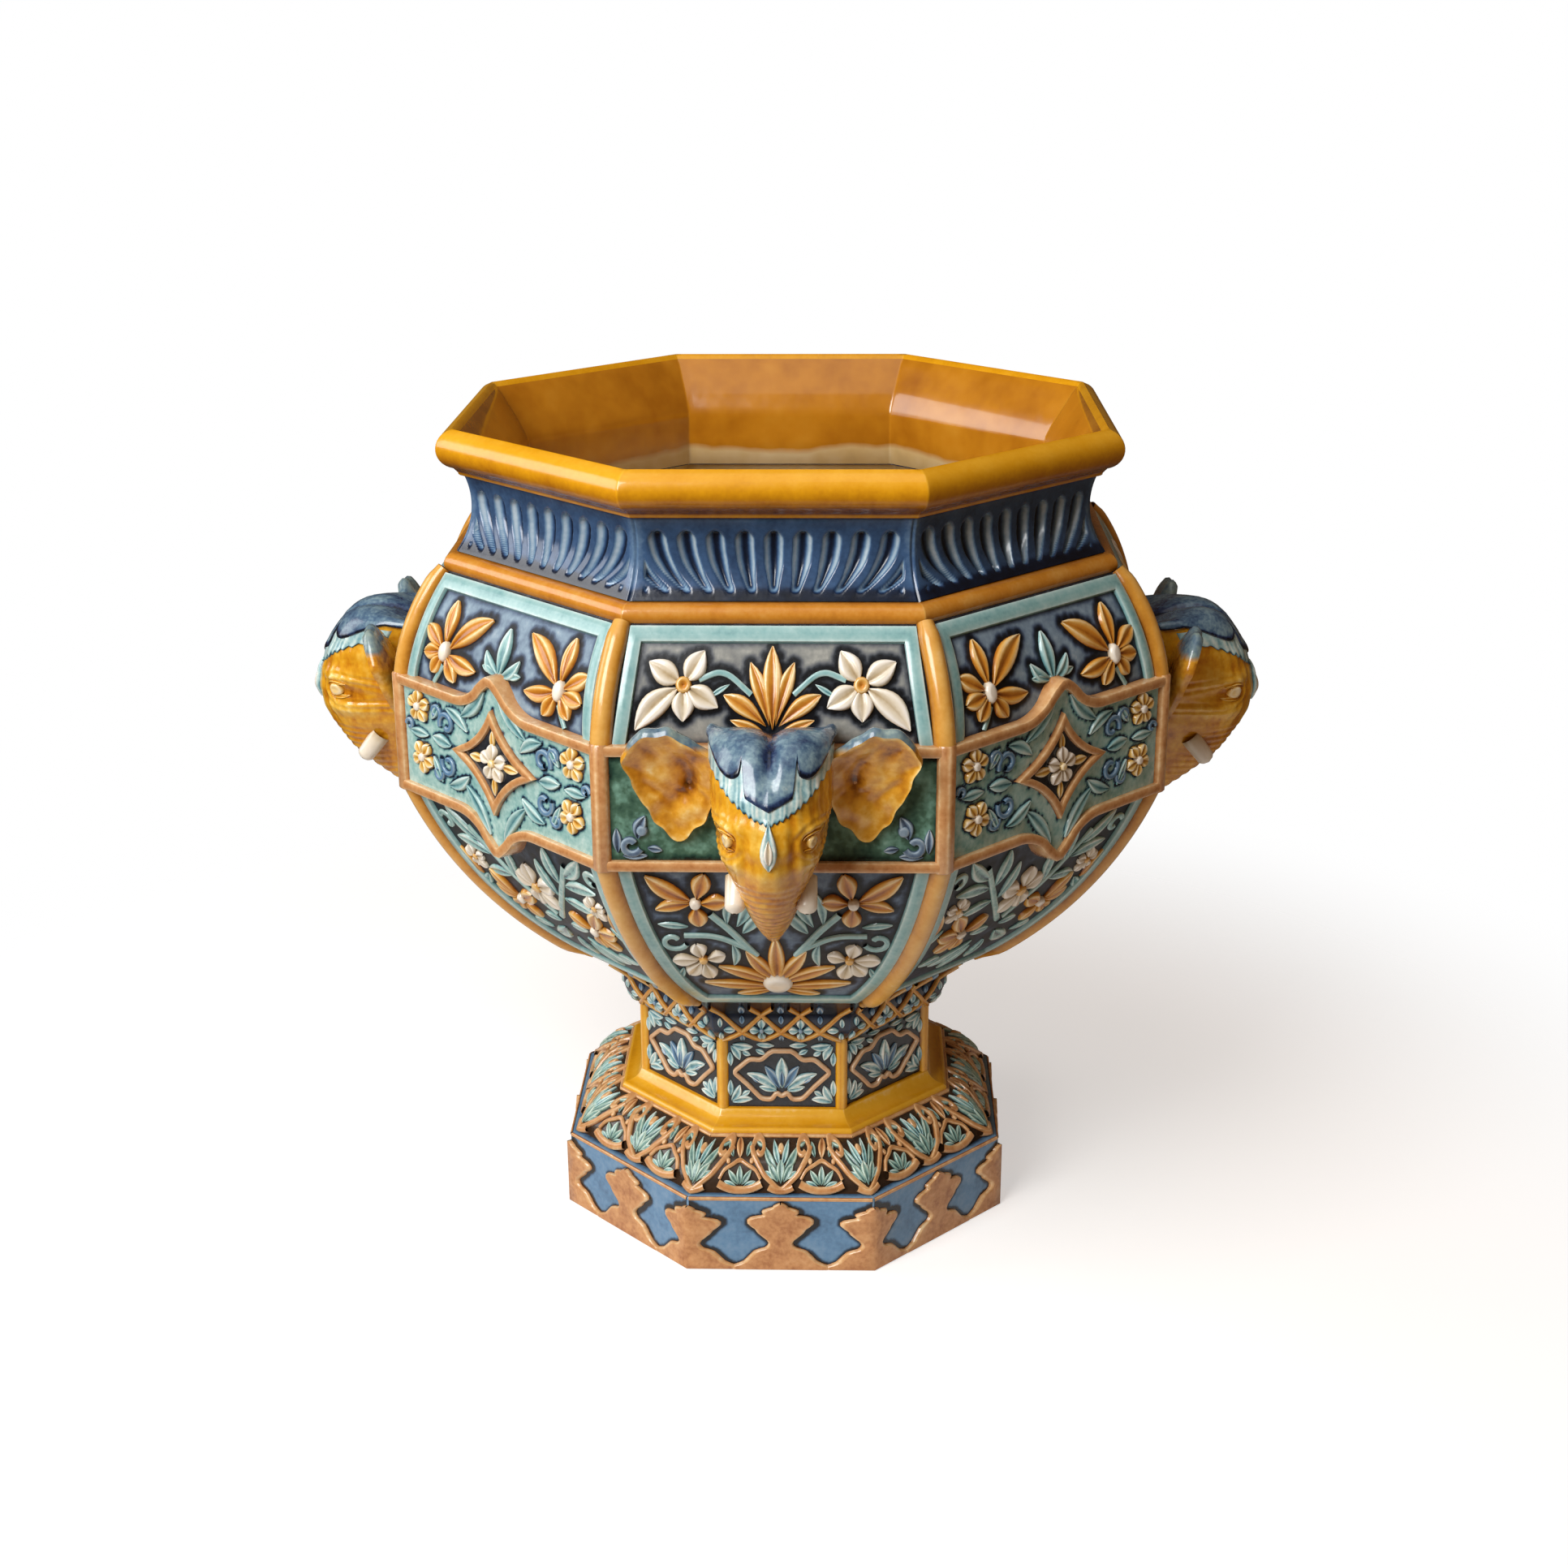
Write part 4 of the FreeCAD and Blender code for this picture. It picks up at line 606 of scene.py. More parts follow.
# %% Petals
PETAL_ACROSS = np.array([-1.0, -0.85, -0.62, -0.3, 0.0, 0.3, 0.62, 0.85, 1.0])
PETAL_LIFT = np.array([-0.5, 0.72, 1.0, 0.8, 0.55, 0.8, 1.0, 0.72, -0.5])
PETAL_RISE = np.array([-0.1, 0.7, 0.92, 0.56, 0.34, 0.56, 0.92, 0.7, -0.1])


def petal(base, tip, half, height=2.6, bend=0.0, full=0.5):
    """A pointed oval from base to tip.

    Its half width is half * sin(pi * s ** k), where k puts the widest place at the share full of its length.
    The middle line bows to the right by bend.
    """
    base, tip = np.array(base, float), np.array(tip, float)
    along = np.linspace(0.02, 0.985, 10)[:, None]
    ahead = tip - base
    right = np.array([ahead[1], -ahead[0]]) / np.hypot(*ahead)
    middle = base + along * ahead + 4 * bend * along * (1 - along) * right
    width = half * np.sin(math.pi * along ** (math.log(0.5) / math.log(full))) ** 0.85
    offset = width * PETAL_ACROSS
    lift = height * PETAL_LIFT * (0.45 + 0.55 * np.sin(math.pi * along) ** 0.5)
    rise = PETAL_RISE + 0.4 * (along - 0.62)
    return shape(middle[:, :1] + offset * right[0], middle[:, 1:] + offset * right[1], lift, rise)


print("points of one petal:", petal((0, 0), (0, 10), 3.0)["across"].size)

# %% Ribbons and beads
RIBBON_ACROSS = np.array([-1.0, -0.82, -0.5, 0.0, 0.5, 0.82, 1.0])
RIBBON_RISE = np.array([0.1, 0.85, 0.6, 0.5, 0.6, 0.85, 0.1])


def ribbon(path, half, height=2.0, closed=False, root=0.6, rise=RIBBON_RISE):
    """A raised band along the path, mitred at each point. Its sides go down by root under the wall."""
    path = np.array(path, float)
    steps = (np.roll(path, -1, axis=0) if closed else path[1:]) - (path if closed else path[:-1])
    steps = steps / np.hypot(steps[:, 0], steps[:, 1])[:, None]
    before = np.roll(steps, 1, axis=0) if closed else np.concatenate([steps[:1], steps])
    after = steps if closed else np.concatenate([steps, steps[-1:]])
    mean = before + after
    left = 2 * np.stack([-mean[:, 1], mean[:, 0]]) / np.maximum((mean ** 2).sum(axis=1), 0.9)
    offset = RIBBON_ACROSS[:, None] * half
    profile = np.array([-root, 0.82, 0.98, 1.0, 0.98, 0.82, -root])
    lift = np.where(profile < 0, profile, profile * height)[:, None]
    return shape(path[:, 0] + offset * left[0], path[:, 1] + offset * left[1], lift, rise[:, None], closed)


def bead(centre, radius, height=2.0, dimple=0.0, squash=1.0):
    """A low round boss, or a shallow cup where dimple is above zero."""
    ring = np.array([1.0, 0.93, 0.72, 0.4, 0.0])[:, None]
    angle = np.linspace(0, 2 * math.pi, 16, endpoint=False)[None, :]
    lift = height * np.array([-0.4, 0.55, 0.95, 1.0 - 0.4 * dimple, 1.0 - dimple])[:, None]
    rise = np.array([0.05, 0.6, 0.85, 0.75 - 0.3 * dimple, 0.75 - 0.7 * dimple])[:, None]
    return shape(centre[0] + radius * ring * np.cos(angle),
                 centre[1] + squash * radius * ring * np.sin(angle), lift, rise, True)


print("points of one bead:", bead((0, 0), 2.0)["across"].size)

# %% The walls of the bowl, belt and neck
lower_wall = Wall(lower_curve)
upper_wall = Wall(upper_curve)
belt_wall = Wall([(BELT_FACE, 270.0), (BELT_FACE, 385.0)])
neck_wall = Wall(neck_curve)
print("width of the flat at the foot of the neck:", round(2 * float(neck_wall.half_side(RING_TOP)), 1), "mm")

# %% [markdown]
# ### Flutes of the neck
#
# Each flat of the neck has nine hollow flutes that fan out upward, and at each lower corner the foot of
# one more. The surface is a height field: hollows along leaning lines, narrower towards the foot and
# closed by a round arch at the top. The glaze is thin on both shoulders of a hollow and pools along its
# floor. Booleans could cut the flutes out, but a height field keeps clean faces, and its hollows give the
# rise at once.

# %% Neck flutes
FLUTE_LOW, FLUTE_TOP, FLUTE_REACH = 434.0, 465.5, 67.4
FLUTE_LOW_PITCH, FLUTE_TOP_PITCH = 11.2, 15.2
share = np.linspace(-1, 1, 281)[None, :]
level = np.linspace(RING_TOP - 0.3, NECK_TOP + 0.4, 44)[:, None]
across = share * neck_wall.half_side(level)
climb = np.clip((level - FLUTE_LOW) / (FLUTE_TOP - FLUTE_LOW), 0, 1)
pitch = FLUTE_LOW_PITCH + (FLUTE_TOP_PITCH - FLUTE_LOW_PITCH) * (1 - (1 - climb) ** 2.4)
from_middle = np.abs(across / pitch - np.round(across / pitch)) * 2
inside_fan = smooth_step(FLUTE_REACH + 0.7, FLUTE_REACH - 0.7, np.abs(across))
arch = FLUTE_TOP - 0.5 * pitch * from_middle ** 2
ends = smooth_step(FLUTE_LOW - 1.6, FLUTE_LOW + 3.4, level) * smooth_step(arch + 0.6, arch - 2.0, level)
width = 0.42 + 0.28 * smooth_step(0.0, 0.5, climb)
hollow = inside_fan * ends * np.clip(1 - (from_middle / width) ** 2, 0, 1)
border = smooth_step(0.0, 0.012, 1 - np.abs(share))
lift = (1.4 - 4.6 * hollow) * border
low_band = smooth_step(437, 432.5, level)
shoulders = 2.3 * hollow * (1 - hollow)
edges = 0.14 * smooth_step(0.9, 0.99, np.abs(share))
rise = 0.42 + shoulders - 0.3 * hollow ** 2 - 0.34 * low_band + edges
fan = shape(across, level, lift, rise)
add_relief("neck_flutes", neck_wall, [fan], ALL_TURNS, cobalt, "cobalt_glaze", "neck_flutes")

# %% [markdown]
# ### Rolls on the corners
#
# A gold roll covers each corner of the bowl, where two pressed walls were luted together. It is a round
# bar along the corner's line. Its ends go under the shoulder ring and the belt, and the lowest end is
# drawn out. Sweeping it by a formula lets the rise follow the angle round the bar, so that the glaze is
# thin along the crest.

# %% Corner rolls


def corner_roll(section, radius, stand, foot=0.0, head=0.0):
    """A round bar along the corner above this section of (face, level) points, thinner at foot and head."""
    section = np.array(section, float)
    line = section / [math.cos(HALF_TURN), 1.0]
    ahead = np.gradient(line, axis=0)
    ahead = ahead / np.hypot(ahead[:, 0], ahead[:, 1])[:, None]
    angle = np.radians(np.linspace(-105, 105, 15))[None, :]
    share = np.linspace(0, 1, len(line))[:, None]
    thin = 1 - foot * smooth_step(0.12, 0.0, share) - head * smooth_step(0.86, 1.0, share)
    lift = stand * thin + radius * thin * np.cos(angle)
    out = line[:, :1] + lift * ahead[:, 1:]
    level = line[:, 1:] - lift * ahead[:, :1]
    side = radius * thin * np.sin(angle)
    points = np.stack([out, side, level], axis=-1)
    return patch_of(points, 0.28 + 0.42 * np.cos(angle))


CORNER_TURNS = ALL_TURNS + HALF_TURN
# Honey glaze that ran off the round bar: pale along the crest and brown at both sides.
roll_glaze = lead_glaze("thin_honey_glaze", [
    (0.0, "#4a2408"), (0.25, "#a5661a"), (0.5, "#cf9136"), (0.75, "#e0ad5a"), (1.0, "#f4d9a0")],
    drift_mm=16.0, drift=0.5)
upper_roll = corner_roll(bow((BELLY_FACE, BELT_TOP - 2), (SHOULDER_FACE, SHOULDER_TOP), 4.4, 21), 6.0, 0.6,
                         head=0.22)
lower_roll = corner_roll(bow((PANEL_LOW_FACE - 2, PANEL_LOW - 2.5), (BELLY_FACE, BELT_LOW + 1), 12.5, 33),
                         6.0, 0.6, foot=0.55)
add_piece("upper_ribs", [turned(upper_roll, turn) for turn in CORNER_TURNS], roll_glaze, "ochre_glaze",
          "upper_ribs")
add_piece("lower_ribs", [turned(lower_roll, turn) for turn in CORNER_TURNS], roll_glaze, "ochre_glaze",
          "lower_ribs")

# %% [markdown]
# ### Panel frames
#
# Beside the rolls each panel has a pale turquoise frame, open where the belt covers it. It is one ribbon
# along the outline of the panel, because a ribbon keeps its width round the corners.

# %% Frames
FRAME_HALF, FRAME_INSET = 4.1, 9.0
frame_top = SHOULDER_TOP - 1.2 - FRAME_HALF
upper_foot, upper_head = (float(upper_wall.half_side(level)) - FRAME_INSET
                          for level in (BELT_TOP - 2, frame_top))
upper_path = walked([(-upper_foot, BELT_TOP - 2), (-upper_head, frame_top), (upper_head, frame_top),
                     (upper_foot, BELT_TOP - 2)])
add_relief("upper_panel_frames", upper_wall, [ribbon(upper_path, FRAME_HALF, 3.0)], ALL_TURNS, turquoise,
           "turquoise_glaze", "upper_panel_frames", sharp=45)
side_levels = np.linspace(BELT_LOW + 1, PANEL_LOW + 5.5, 28)
side_across = lower_wall.half_side(side_levels) - FRAME_INSET
left_side = np.column_stack([-side_across, side_levels])
right_side = np.column_stack([side_across, side_levels])[::-1]
foot_line = walked([left_side[-1], right_side[0]])[1:-1]
lower_path = np.concatenate([left_side, foot_line, right_side])
add_relief("lower_panel_frames", lower_wall, [ribbon(lower_path, FRAME_HALF, 3.0)], ALL_TURNS, turquoise,
           "turquoise_glaze", "lower_panel_frames", sharp=45)

# %% [markdown]
# ## The belt
#
# An upright belt goes round the widest part. Behind the heads it is plain. Between the heads its edges
# rise and fall to an ogee, so the plate there stands clear of the curved bowl, and its sides reach back
# to it. The bands are ribbons with deep roots, which close the sides of the plate without another mesh.

# %% Plain bands behind the heads
BAND_HALF, BAND_HEIGHT = 3.3, 3.2
BELT_FOOT = BELT_LOW - 4.5
band_end = BELT_FACE * HALF_SIDE - 3.0
plain_bands = [ribbon(walked([(-band_end, level), (band_end, level)], 8.0), BAND_HALF, BAND_HEIGHT, root=7.0)
               for level in (BELT_TOP - BAND_HALF, BELT_FOOT + BAND_HALF)]
add_relief("elephant_panel_bands", belt_wall, plain_bands, HEAD_TURNS, terracotta, "terracotta_glaze",
           "elephant_panel_bands", sharp=45)

# %% Bands with an ogee between the heads


def ogee(level, peak):
    """An edge of a star panel, left to right: level, a hollow bend to the peak's side, a round point."""
    bend = math.copysign(1, peak)
    turn_rise = 7.5 * bend
    left = np.concatenate([
        walked([(-band_end, level), (-36.0, level)], 8.0)[:-1],
        bow((-36.0, level), (-13.0, level + turn_rise), 2.2 * bend, 8)[:-1],
        bow((-13.0, level + turn_rise), (-1.6, level + peak), -0.6 * bend, 5)])
    return np.concatenate([left, left[::-1] * [-1, 1]])


upper_edge, lower_edge = ogee(BELT_TOP - BAND_HALF, 17.0), ogee(BELT_FOOT + BAND_HALF, -18.0)
star_bands = [ribbon(upper_edge, BAND_HALF, BAND_HEIGHT, root=14.0),
              ribbon(lower_edge, BAND_HALF, BAND_HEIGHT, root=15.0)]
add_relief("star_panel_bands", belt_wall, star_bands, STAR_TURNS, terracotta, "terracotta_glaze",
           "star_panel_bands", sharp=45)

# %% Posts on the corners
post_place = np.array([5.6, 5.2, 4.4, 2.0, 0.35])
post_lift = np.array([-1.0, 2.3, BAND_HEIGHT, BAND_HEIGHT + 0.2, BAND_HEIGHT])
post_rise = np.array([0.1, 0.85, 0.6, 0.5, 0.8])
post_levels = [BELT_FOOT - 0.2, BELT_FOOT + 0.8, BELT_MIDDLE, BELT_TOP - 0.8, BELT_TOP + 0.2]
post_level = np.array(post_levels)[:, None]
post_fade = np.array([0.0, 1.0, 1.0, 1.0, 0.0])[:, None]
face = BELT_FACE + np.where(post_lift > 0, post_lift * (0.75 + 0.25 * post_fade), post_lift)
along = face * HALF_SIDE - post_place
first = np.stack(np.broadcast_arrays(face, along, post_level), axis=-1)
second = first[:, ::-1] * [1, -1, 1]
second = spun(second[..., 0], second[..., 1], second[..., 2], 2 * HALF_TURN)
post = patch_of(np.concatenate([first, second], axis=1),
                np.concatenate([post_rise, post_rise[::-1]])[None, :])
add_piece("belt_posts", [turned(post, turn) for turn in ALL_TURNS], terracotta, "terracotta_glaze",
          "belt_posts", sharp=60)

# %% [markdown]
# ## Elephant heads
#
# Four heads stand out from the belt. Each was pressed in its own two-part mould, trimmed and luted on, so
# it is a full round form whose back lies on the wall. It is made like a loft: a front line from the crown
# down to the tip of the trunk, and level sections that swing from the wall on the left over the front
# line to the right. Sculpting is the usual way to such a form. A loft by numbers was chosen, because each
# line of it can be measured and changed alone.

# %% Front line of the head
# Each row: the station, the front's distance from the axis, its level, the level at the wall, half the width.
HEAD_LINE = [(410.0, 205.0, 361.0, 361.0, 22.0), (401.0, 221.0, 369.6, 367.0, 27.0),
             (392.0, 236.0, 375.4, 371.0, 30.0), (384.0, 249.0, 377.4, 372.5, 31.4),
             (378.0, 259.0, 375.5, 371.0, 31.8), (371.5, 266.5, 370.5, 366.0, 31.8),
             (363.0, 272.5, 363.0, 359.0, 31.8), (352.0, 278.5, 352.0, 349.0, 32.0),
             (340.0, 282.4, 340.0, 338.0, 31.4), (329.0, 284.0, 329.0, 328.0, 29.4),
             (320.0, 282.6, 320.0, 320.0, 28.0), (314.0, 281.0, 314.0, 315.0, 26.8),
             (308.0, 278.6, 308.0, 310.0, 25.0), (302.0, 275.6, 302.0, 305.0, 22.6),
             (296.0, 272.4, 296.0, 300.0, 20.2), (287.0, 266.0, 287.0, 292.0, 17.4),
             (277.0, 254.5, 277.0, 283.0, 14.6), (267.0, 241.5, 267.0, 274.0, 11.6),
             (257.0, 227.0, 257.0, 264.0, 7.8), (250.0, 214.0, 250.0, 256.0, 5.2),
             (246.0, 203.0, 247.5, 250.0, 3.4)]
head_table = softened(HEAD_LINE, 5.0, 5)[::-1]
HEAD_POWER = 0.55
behind_line = [lower_curve[:-1], [(BELLY_FACE, BELT_LOW), (BELLY_FACE, BELT_TOP)], upper_curve[1:]]
wall_behind = Wall(np.concatenate(behind_line))
print("points on the front line of the head:", len(head_table))

# %% The head as a wall of its own


class HeadWall:
    """A head on which relief is laid like on a flat.

    Across is the width. The second measure is the station on the front line: the level as far as the
    forehead, and from there on the way back over the crown.
    """

    def half(self, station):
        """Half the width of the head at this station."""
        return np.interp(station, head_table[:, 0], head_table[:, 4])

    def swing(self, across, station):
        """The angle from the front line, whose sine is the share of the half width."""
        return np.arcsin(np.clip(across / self.half(station), -0.9995, 0.9995))

    def place(self, swing, station):
        """A bare point of the head at this swing from the front line, as (out, across, height).

        The section is back + (front - back) * cos(swing) ** power. A small power gives a broad forehead.
        """
        front, level, back, half = (np.interp(station, head_table[:, 0], head_table[:, column])
                                    for column in (1, 2, 3, 4))
        fullness = np.cos(swing) ** HEAD_POWER
        bed = wall_behind.face(back) - 2.0
        height = back + (level - back) * fullness
        return np.stack([bed + (front - bed) * fullness, half * np.sin(swing), height], axis=-1)

    def modelled(self, across, station):
        """How far the carver raised or sank the form here: domes, brows, eye sockets, cheeks, trunk rings."""
        side = np.abs(across)

        def spot(u, z, wide, high):
            return np.exp(-((side - u) / wide) ** 2 - ((station - z) / high) ** 2)

        groove = -3.4 * np.exp(-(across / 4.2) ** 2)
        groove = groove * smooth_step(356, 368, station) * smooth_step(408, 392, station)
        dome = 1.4 * spot(14.0, 381.0, 9.0, 14.0)
        brow = 2.0 * spot(22.0, 338.0, 7.5, 3.6)
        socket = -2.0 * spot(23.0, 330.0, 5.5, 4.2)
        cheek = 1.8 * spot(20.0, 319.0, 7.0, 6.0)
        bridge = 1.6 * np.exp(-(across / 8.0) ** 2)
        bridge = bridge * smooth_step(296, 312, station) * smooth_step(346, 330, station)
        furrow = -1.3 * spot(11.5, 322.0, 2.4, 14.0)
        rings = 0.3 * np.cos(station * 2 * math.pi / 4.2 + side * 0.1) * smooth_step(312, 298, station)
        rings = rings * smooth_step(1.02, 0.8, side / self.half(station))
        around = np.hypot(side - 24.0, station - 330.0)
        wrinkles = 0.4 * np.cos(around * 2 * math.pi / 4.4)
        wrinkles = wrinkles * smooth_step(16, 10, around) * smooth_step(4.0, 6.0, around)
        fullness = np.cos(self.swing(across, station)) ** HEAD_POWER
        along = side + 70.0 * (1 - fullness)
        forward = smooth_step(0.3, 0.72, fullness)
        crumpled = 0.45 * np.sin(station * 0.31 + along * 0.3) * np.sin(along * 0.34 - station * 0.21 + 0.6)
        skin = (wrinkles + crumpled * smooth_step(300, 312, station)) * smooth_step(366, 356, station)
        features = (brow + socket + cheek) * forward
        return groove + dome + features + bridge + furrow + skin + rings * smooth_step(256, 262, station)

    def points(self, across, station, lift, turn):
        """Places in space, lifted square to the head."""
        swing = self.swing(across, station)
        place = self.place(swing, station)
        up = self.place(swing, station + 0.4) - self.place(swing, station - 0.4)
        rightward, leftward = np.clip(swing + 0.02, -1.55, 1.55), np.clip(swing - 0.02, -1.55, 1.55)
        right = self.place(rightward, station) - self.place(leftward, station)
        square = np.cross(right, up)
        square = square / np.maximum(np.linalg.norm(square, axis=-1, keepdims=True), 1e-9)
        place = place + square * (lift + self.modelled(across, station))[..., None]
        return spun(place[..., 0], place[..., 1], place[..., 2], turn)


head_wall = HeadWall()
HEAD_NAMES = dict(zip(("right", "back", "left", "front"), HEAD_TURNS))
print("width of the head at the brows:", round(2 * float(head_wall.half(338.0)), 1), "mm")

# %% [markdown]
# ### Face and trunk
#
# The level rings of the trunk, the eye sockets and the brows are modelled into the head's own surface.
# Each is a bell curve or a wave that is added to the head, so it can be moved or deepened by one number.

# %% Heads
# Ochre brushed on in streaks that ran down: brown in the wrinkles, straw-pale on the brows and rings.
skin_glaze = lead_glaze("streaked_ochre_glaze", [
    (0.0, "#3d1b04"), (0.22, "#8f4f0b"), (0.42, "#c47d12"), (0.62, "#dc9f22"), (0.82, "#eabb4c"),
    (1.0, "#f6dc96")],
    drift_mm=8.0, drift=0.8, grain_mm=3.4, grain=0.4, run=0.4)
station = np.linspace(246.4, 409.5, 190)[:, None]
swing = np.radians(np.linspace(-88, 88, 91))[None, :]
across = head_wall.half(station) * np.sin(swing)
relief = head_wall.modelled(across, station)
face_shape = shape(across, station, 0.0, 0.58 + 0.12 * relief - 0.08 * smooth_step(316, 300, station))
for direction, turn in HEAD_NAMES.items():
    add_relief(f"elephant_head_{direction}", head_wall, [face_shape], [turn], skin_glaze, "ochre_glaze",
               f"elephant_head_{direction}")

# %% [markdown]
# ### Headcloth
#
# A blue cloth lies over the crown. Its edge has a pointed tongue in the middle and a lobe at each side,
# and a pale fringe hangs below it, combed into locks. A drop-shaped pendant hangs from the tongue. A
# cloth simulation would make folds of its own. This cloth is clay, so it is a sheet at a fixed height
# above the head, and its edge is a function of the width.

# %% Edges of the cloth and of its fringe
LOCK_WIDTH = 2.6


def cloth_edge(across):
    """Station of the cloth's edge: a pointed tongue, a round lobe at each side, then up the temple."""
    side = np.abs(across)
    tongue = 347.8 + 0.55 * side + 15.5 * smooth_step(10.4, 12.4, side)
    lobe = 361.4 + 0.13 * (side - 17.5) ** 2 + 3.0 * smooth_step(13.6, 12.2, side)
    return np.where(side < 12.4, tongue, np.minimum(lobe, 377.0))


def fringe_edge(across):
    """The fringe's foot: below the cloth's edge, in pointed locks."""
    side = np.abs(across)
    lock = np.abs((side / LOCK_WIDTH) % 1.0 - 0.5) * 2
    return 341.0 + 0.25 * side + 0.019 * side ** 2 + 1.8 * lock


print("level of the tongue's tip and of the fringe below it:", cloth_edge(0.0), fringe_edge(0.0))

# %% Tones of the cloth, and a sheet on the head


def cloth_rise(across, station, share):
    """Dark along the edge and down the parting, paler on the tongue, and darker again over the crown."""
    border = 0.5 * smooth_step(0.035, 0.09, share)
    parting = 0.4 * np.exp(-(across / 3.4) ** 2) * smooth_step(366, 374, station)
    tongue = 0.1 * smooth_step(366, 358, station) * smooth_step(12, 9, np.abs(across))
    return border - parting + tongue - 0.12 * smooth_step(384, 400, station)


def fringe_rise(across, station, share):
    """Dark at the foot, and paler along each lock, which fades out upward."""
    lock = 0.16 * np.cos(across * 2 * math.pi / LOCK_WIDTH + 1.2 * np.sin(across * 0.9))
    return 0.02 + 0.55 * smooth_step(0.0, 0.08, share) + lock * smooth_step(0.8, 0.3, share)


def head_sheet(reach, top, foot, lift, rise, columns=181):
    """A sheet on the head, as wide as the share reach of it, from station top down to foot(across)."""
    swing = math.asin(reach) * np.linspace(-1, 1, columns)[None, :]
    share = np.array([0.0, 0.012, 0.03, 0.05, 0.08, 0.12, *np.linspace(0.18, 1.0, 12)])[:, None]
    edge = foot(30.0 * np.sin(swing))
    station = edge + share * (np.maximum(top, edge + 3) - edge)
    side_edge = smooth_step(1.0, 0.97, np.abs(np.linspace(-1, 1, columns)))[None, :]
    thick = np.where(share < 0.005, -0.8, lift * (0.75 + 0.25 * smooth_step(0, 0.04, share))) * side_edge
    across = head_wall.half(station) * np.sin(swing)
    return shape(across, station, thick - 0.6 * (1 - side_edge), rise(across, station, share) * side_edge)


print("points of a sheet on the head:", head_sheet(0.985, 374.0, fringe_edge, 1.1, fringe_rise)["across"].size)

# %% Cloth, fringe and pendant
cloth = head_sheet(0.998, 408.0, cloth_edge, 2.2, cloth_rise, columns=221)
fringe = head_sheet(0.985, 374.0, fringe_edge, 1.1, fringe_rise)
# Cobalt dabbed on unevenly: a mottled blue that is dark along the edge.
cloth_glaze = lead_glaze("mottled_blue_glaze", [
    (0.0, "#0a1220"), (0.22, "#26375a"), (0.45, "#4f6a82"), (0.7, "#7f9aa5"), (1.0, "#c2cfca")],
    drift_mm=10.0, drift=0.9, grain_mm=2.2, grain=0.5)
# A thin copper glaze: pale turquoise locks with darker gaps.
fringe_glaze = lead_glaze("pale_turquoise_glaze", [
    (0.0, "#1f3f4e"), (0.28, "#6394a0"), (0.55, "#a4c5c6"), (0.8, "#cfdfda"), (1.0, "#f3f4ea")],
    drift_mm=9.0, drift=0.9, grain_mm=2.4, grain=0.5)
drop_rim = petal((0, 345.0), (0, 319.5), 4.4, 2.4, full=0.62)
drop = petal((0, 336.0), (0, 323.0), 2.2, 3.0, full=0.55)
for direction, turn in HEAD_NAMES.items():
    add_relief(f"headcloth_{direction}", head_wall, [cloth], [turn], cloth_glaze, "cobalt_glaze",
               f"headcloth_{direction}")
    add_relief(f"cloth_fringe_{direction}", head_wall, [fringe, drop_rim], [turn], fringe_glaze,
               "turquoise_glaze")
    add_relief(f"cloth_pendant_{direction}", head_wall, [drop], [turn], ivory, "ivory_glaze")

# %% [markdown]
# ### Eyes and tusks
#
# An eye is a pale bead between two lids, far out at the side. The tusks are short and blunt, as on a
# young animal: a bar that leans forward, a little thinner towards its round end. Lids and eyes are laid
# on the head as petals and beads are on a flat, so they follow its surface.

# %% Eyes and tusks


def flipped(patch):
    """The patch reflected in the flat's middle line, with its faces turned about to look outward."""
    return {**patch, "points": patch["points"] * [1, -1, 1], "quads": patch["quads"][:, ::-1]}


lids = pair(petal((16.8, 332.4), (25.4, 335.0), 1.7, 1.5, bend=-1.0),
            petal((17.2, 326.6), (25.0, 327.4), 1.4, 1.2, bend=0.9))
eyes = pair(bead((21.2, 330.6), 2.5, 2.8, squash=1.6))
TUSK_ROOT, TUSK_LENGTH, TUSK_TILT = (246.0, 301.0), 20.0, math.radians(38.0)
share = np.linspace(0, 1, 15)[:, None]
angle = np.linspace(0, 2 * math.pi, 20, endpoint=False)[None, :]
radius = (6.2 - 1.0 * share) * np.sqrt(np.clip(1 - smooth_step(0.78, 1.02, share) ** 2, 0, 1))
lean = (math.sin(TUSK_TILT), -math.cos(TUSK_TILT))
out = TUSK_ROOT[0] + lean[0] * TUSK_LENGTH * share - lean[1] * radius * np.cos(angle)
level = TUSK_ROOT[1] + lean[1] * TUSK_LENGTH * share + lean[0] * radius * np.cos(angle)
sideways = 17.6 + 1.0 * share + radius * np.sin(angle)
tusk_points = np.stack(np.broadcast_arrays(out, sideways, level), axis=-1)[::-1]
tusk = patch_of(tusk_points, 0.75 - 0.5 * (1 - share[::-1]) ** 3, wrap=True)
for direction, turn in HEAD_NAMES.items():
    add_piece(f"tusks_{direction}", [turned(each, turn) for each in (tusk, flipped(tusk))], ivory,
              "ivory_glaze", f"tusks_{direction}")
    add_relief(f"eyelids_{direction}", head_wall, lids, [turn], skin_glaze, "ochre_glaze")
    add_relief(f"eyes_{direction}", head_wall, eyes, [turn], cream, "ochre_glaze")

# %% [markdown]
# ### Ears
#
# An ear is a thin dished leaf that lies near the belt and opens forward. Rings of its wavy outline shrink
# to a middle, in front and behind. The front is crumpled like hide, with a crescent hollow near the root.
# The front is ochre, the back is blue above and ochre below. A Solidify modifier would give both sides
# one shape. Front and back are rings of their own that meet at the rim, because each has its own relief
# and glaze.

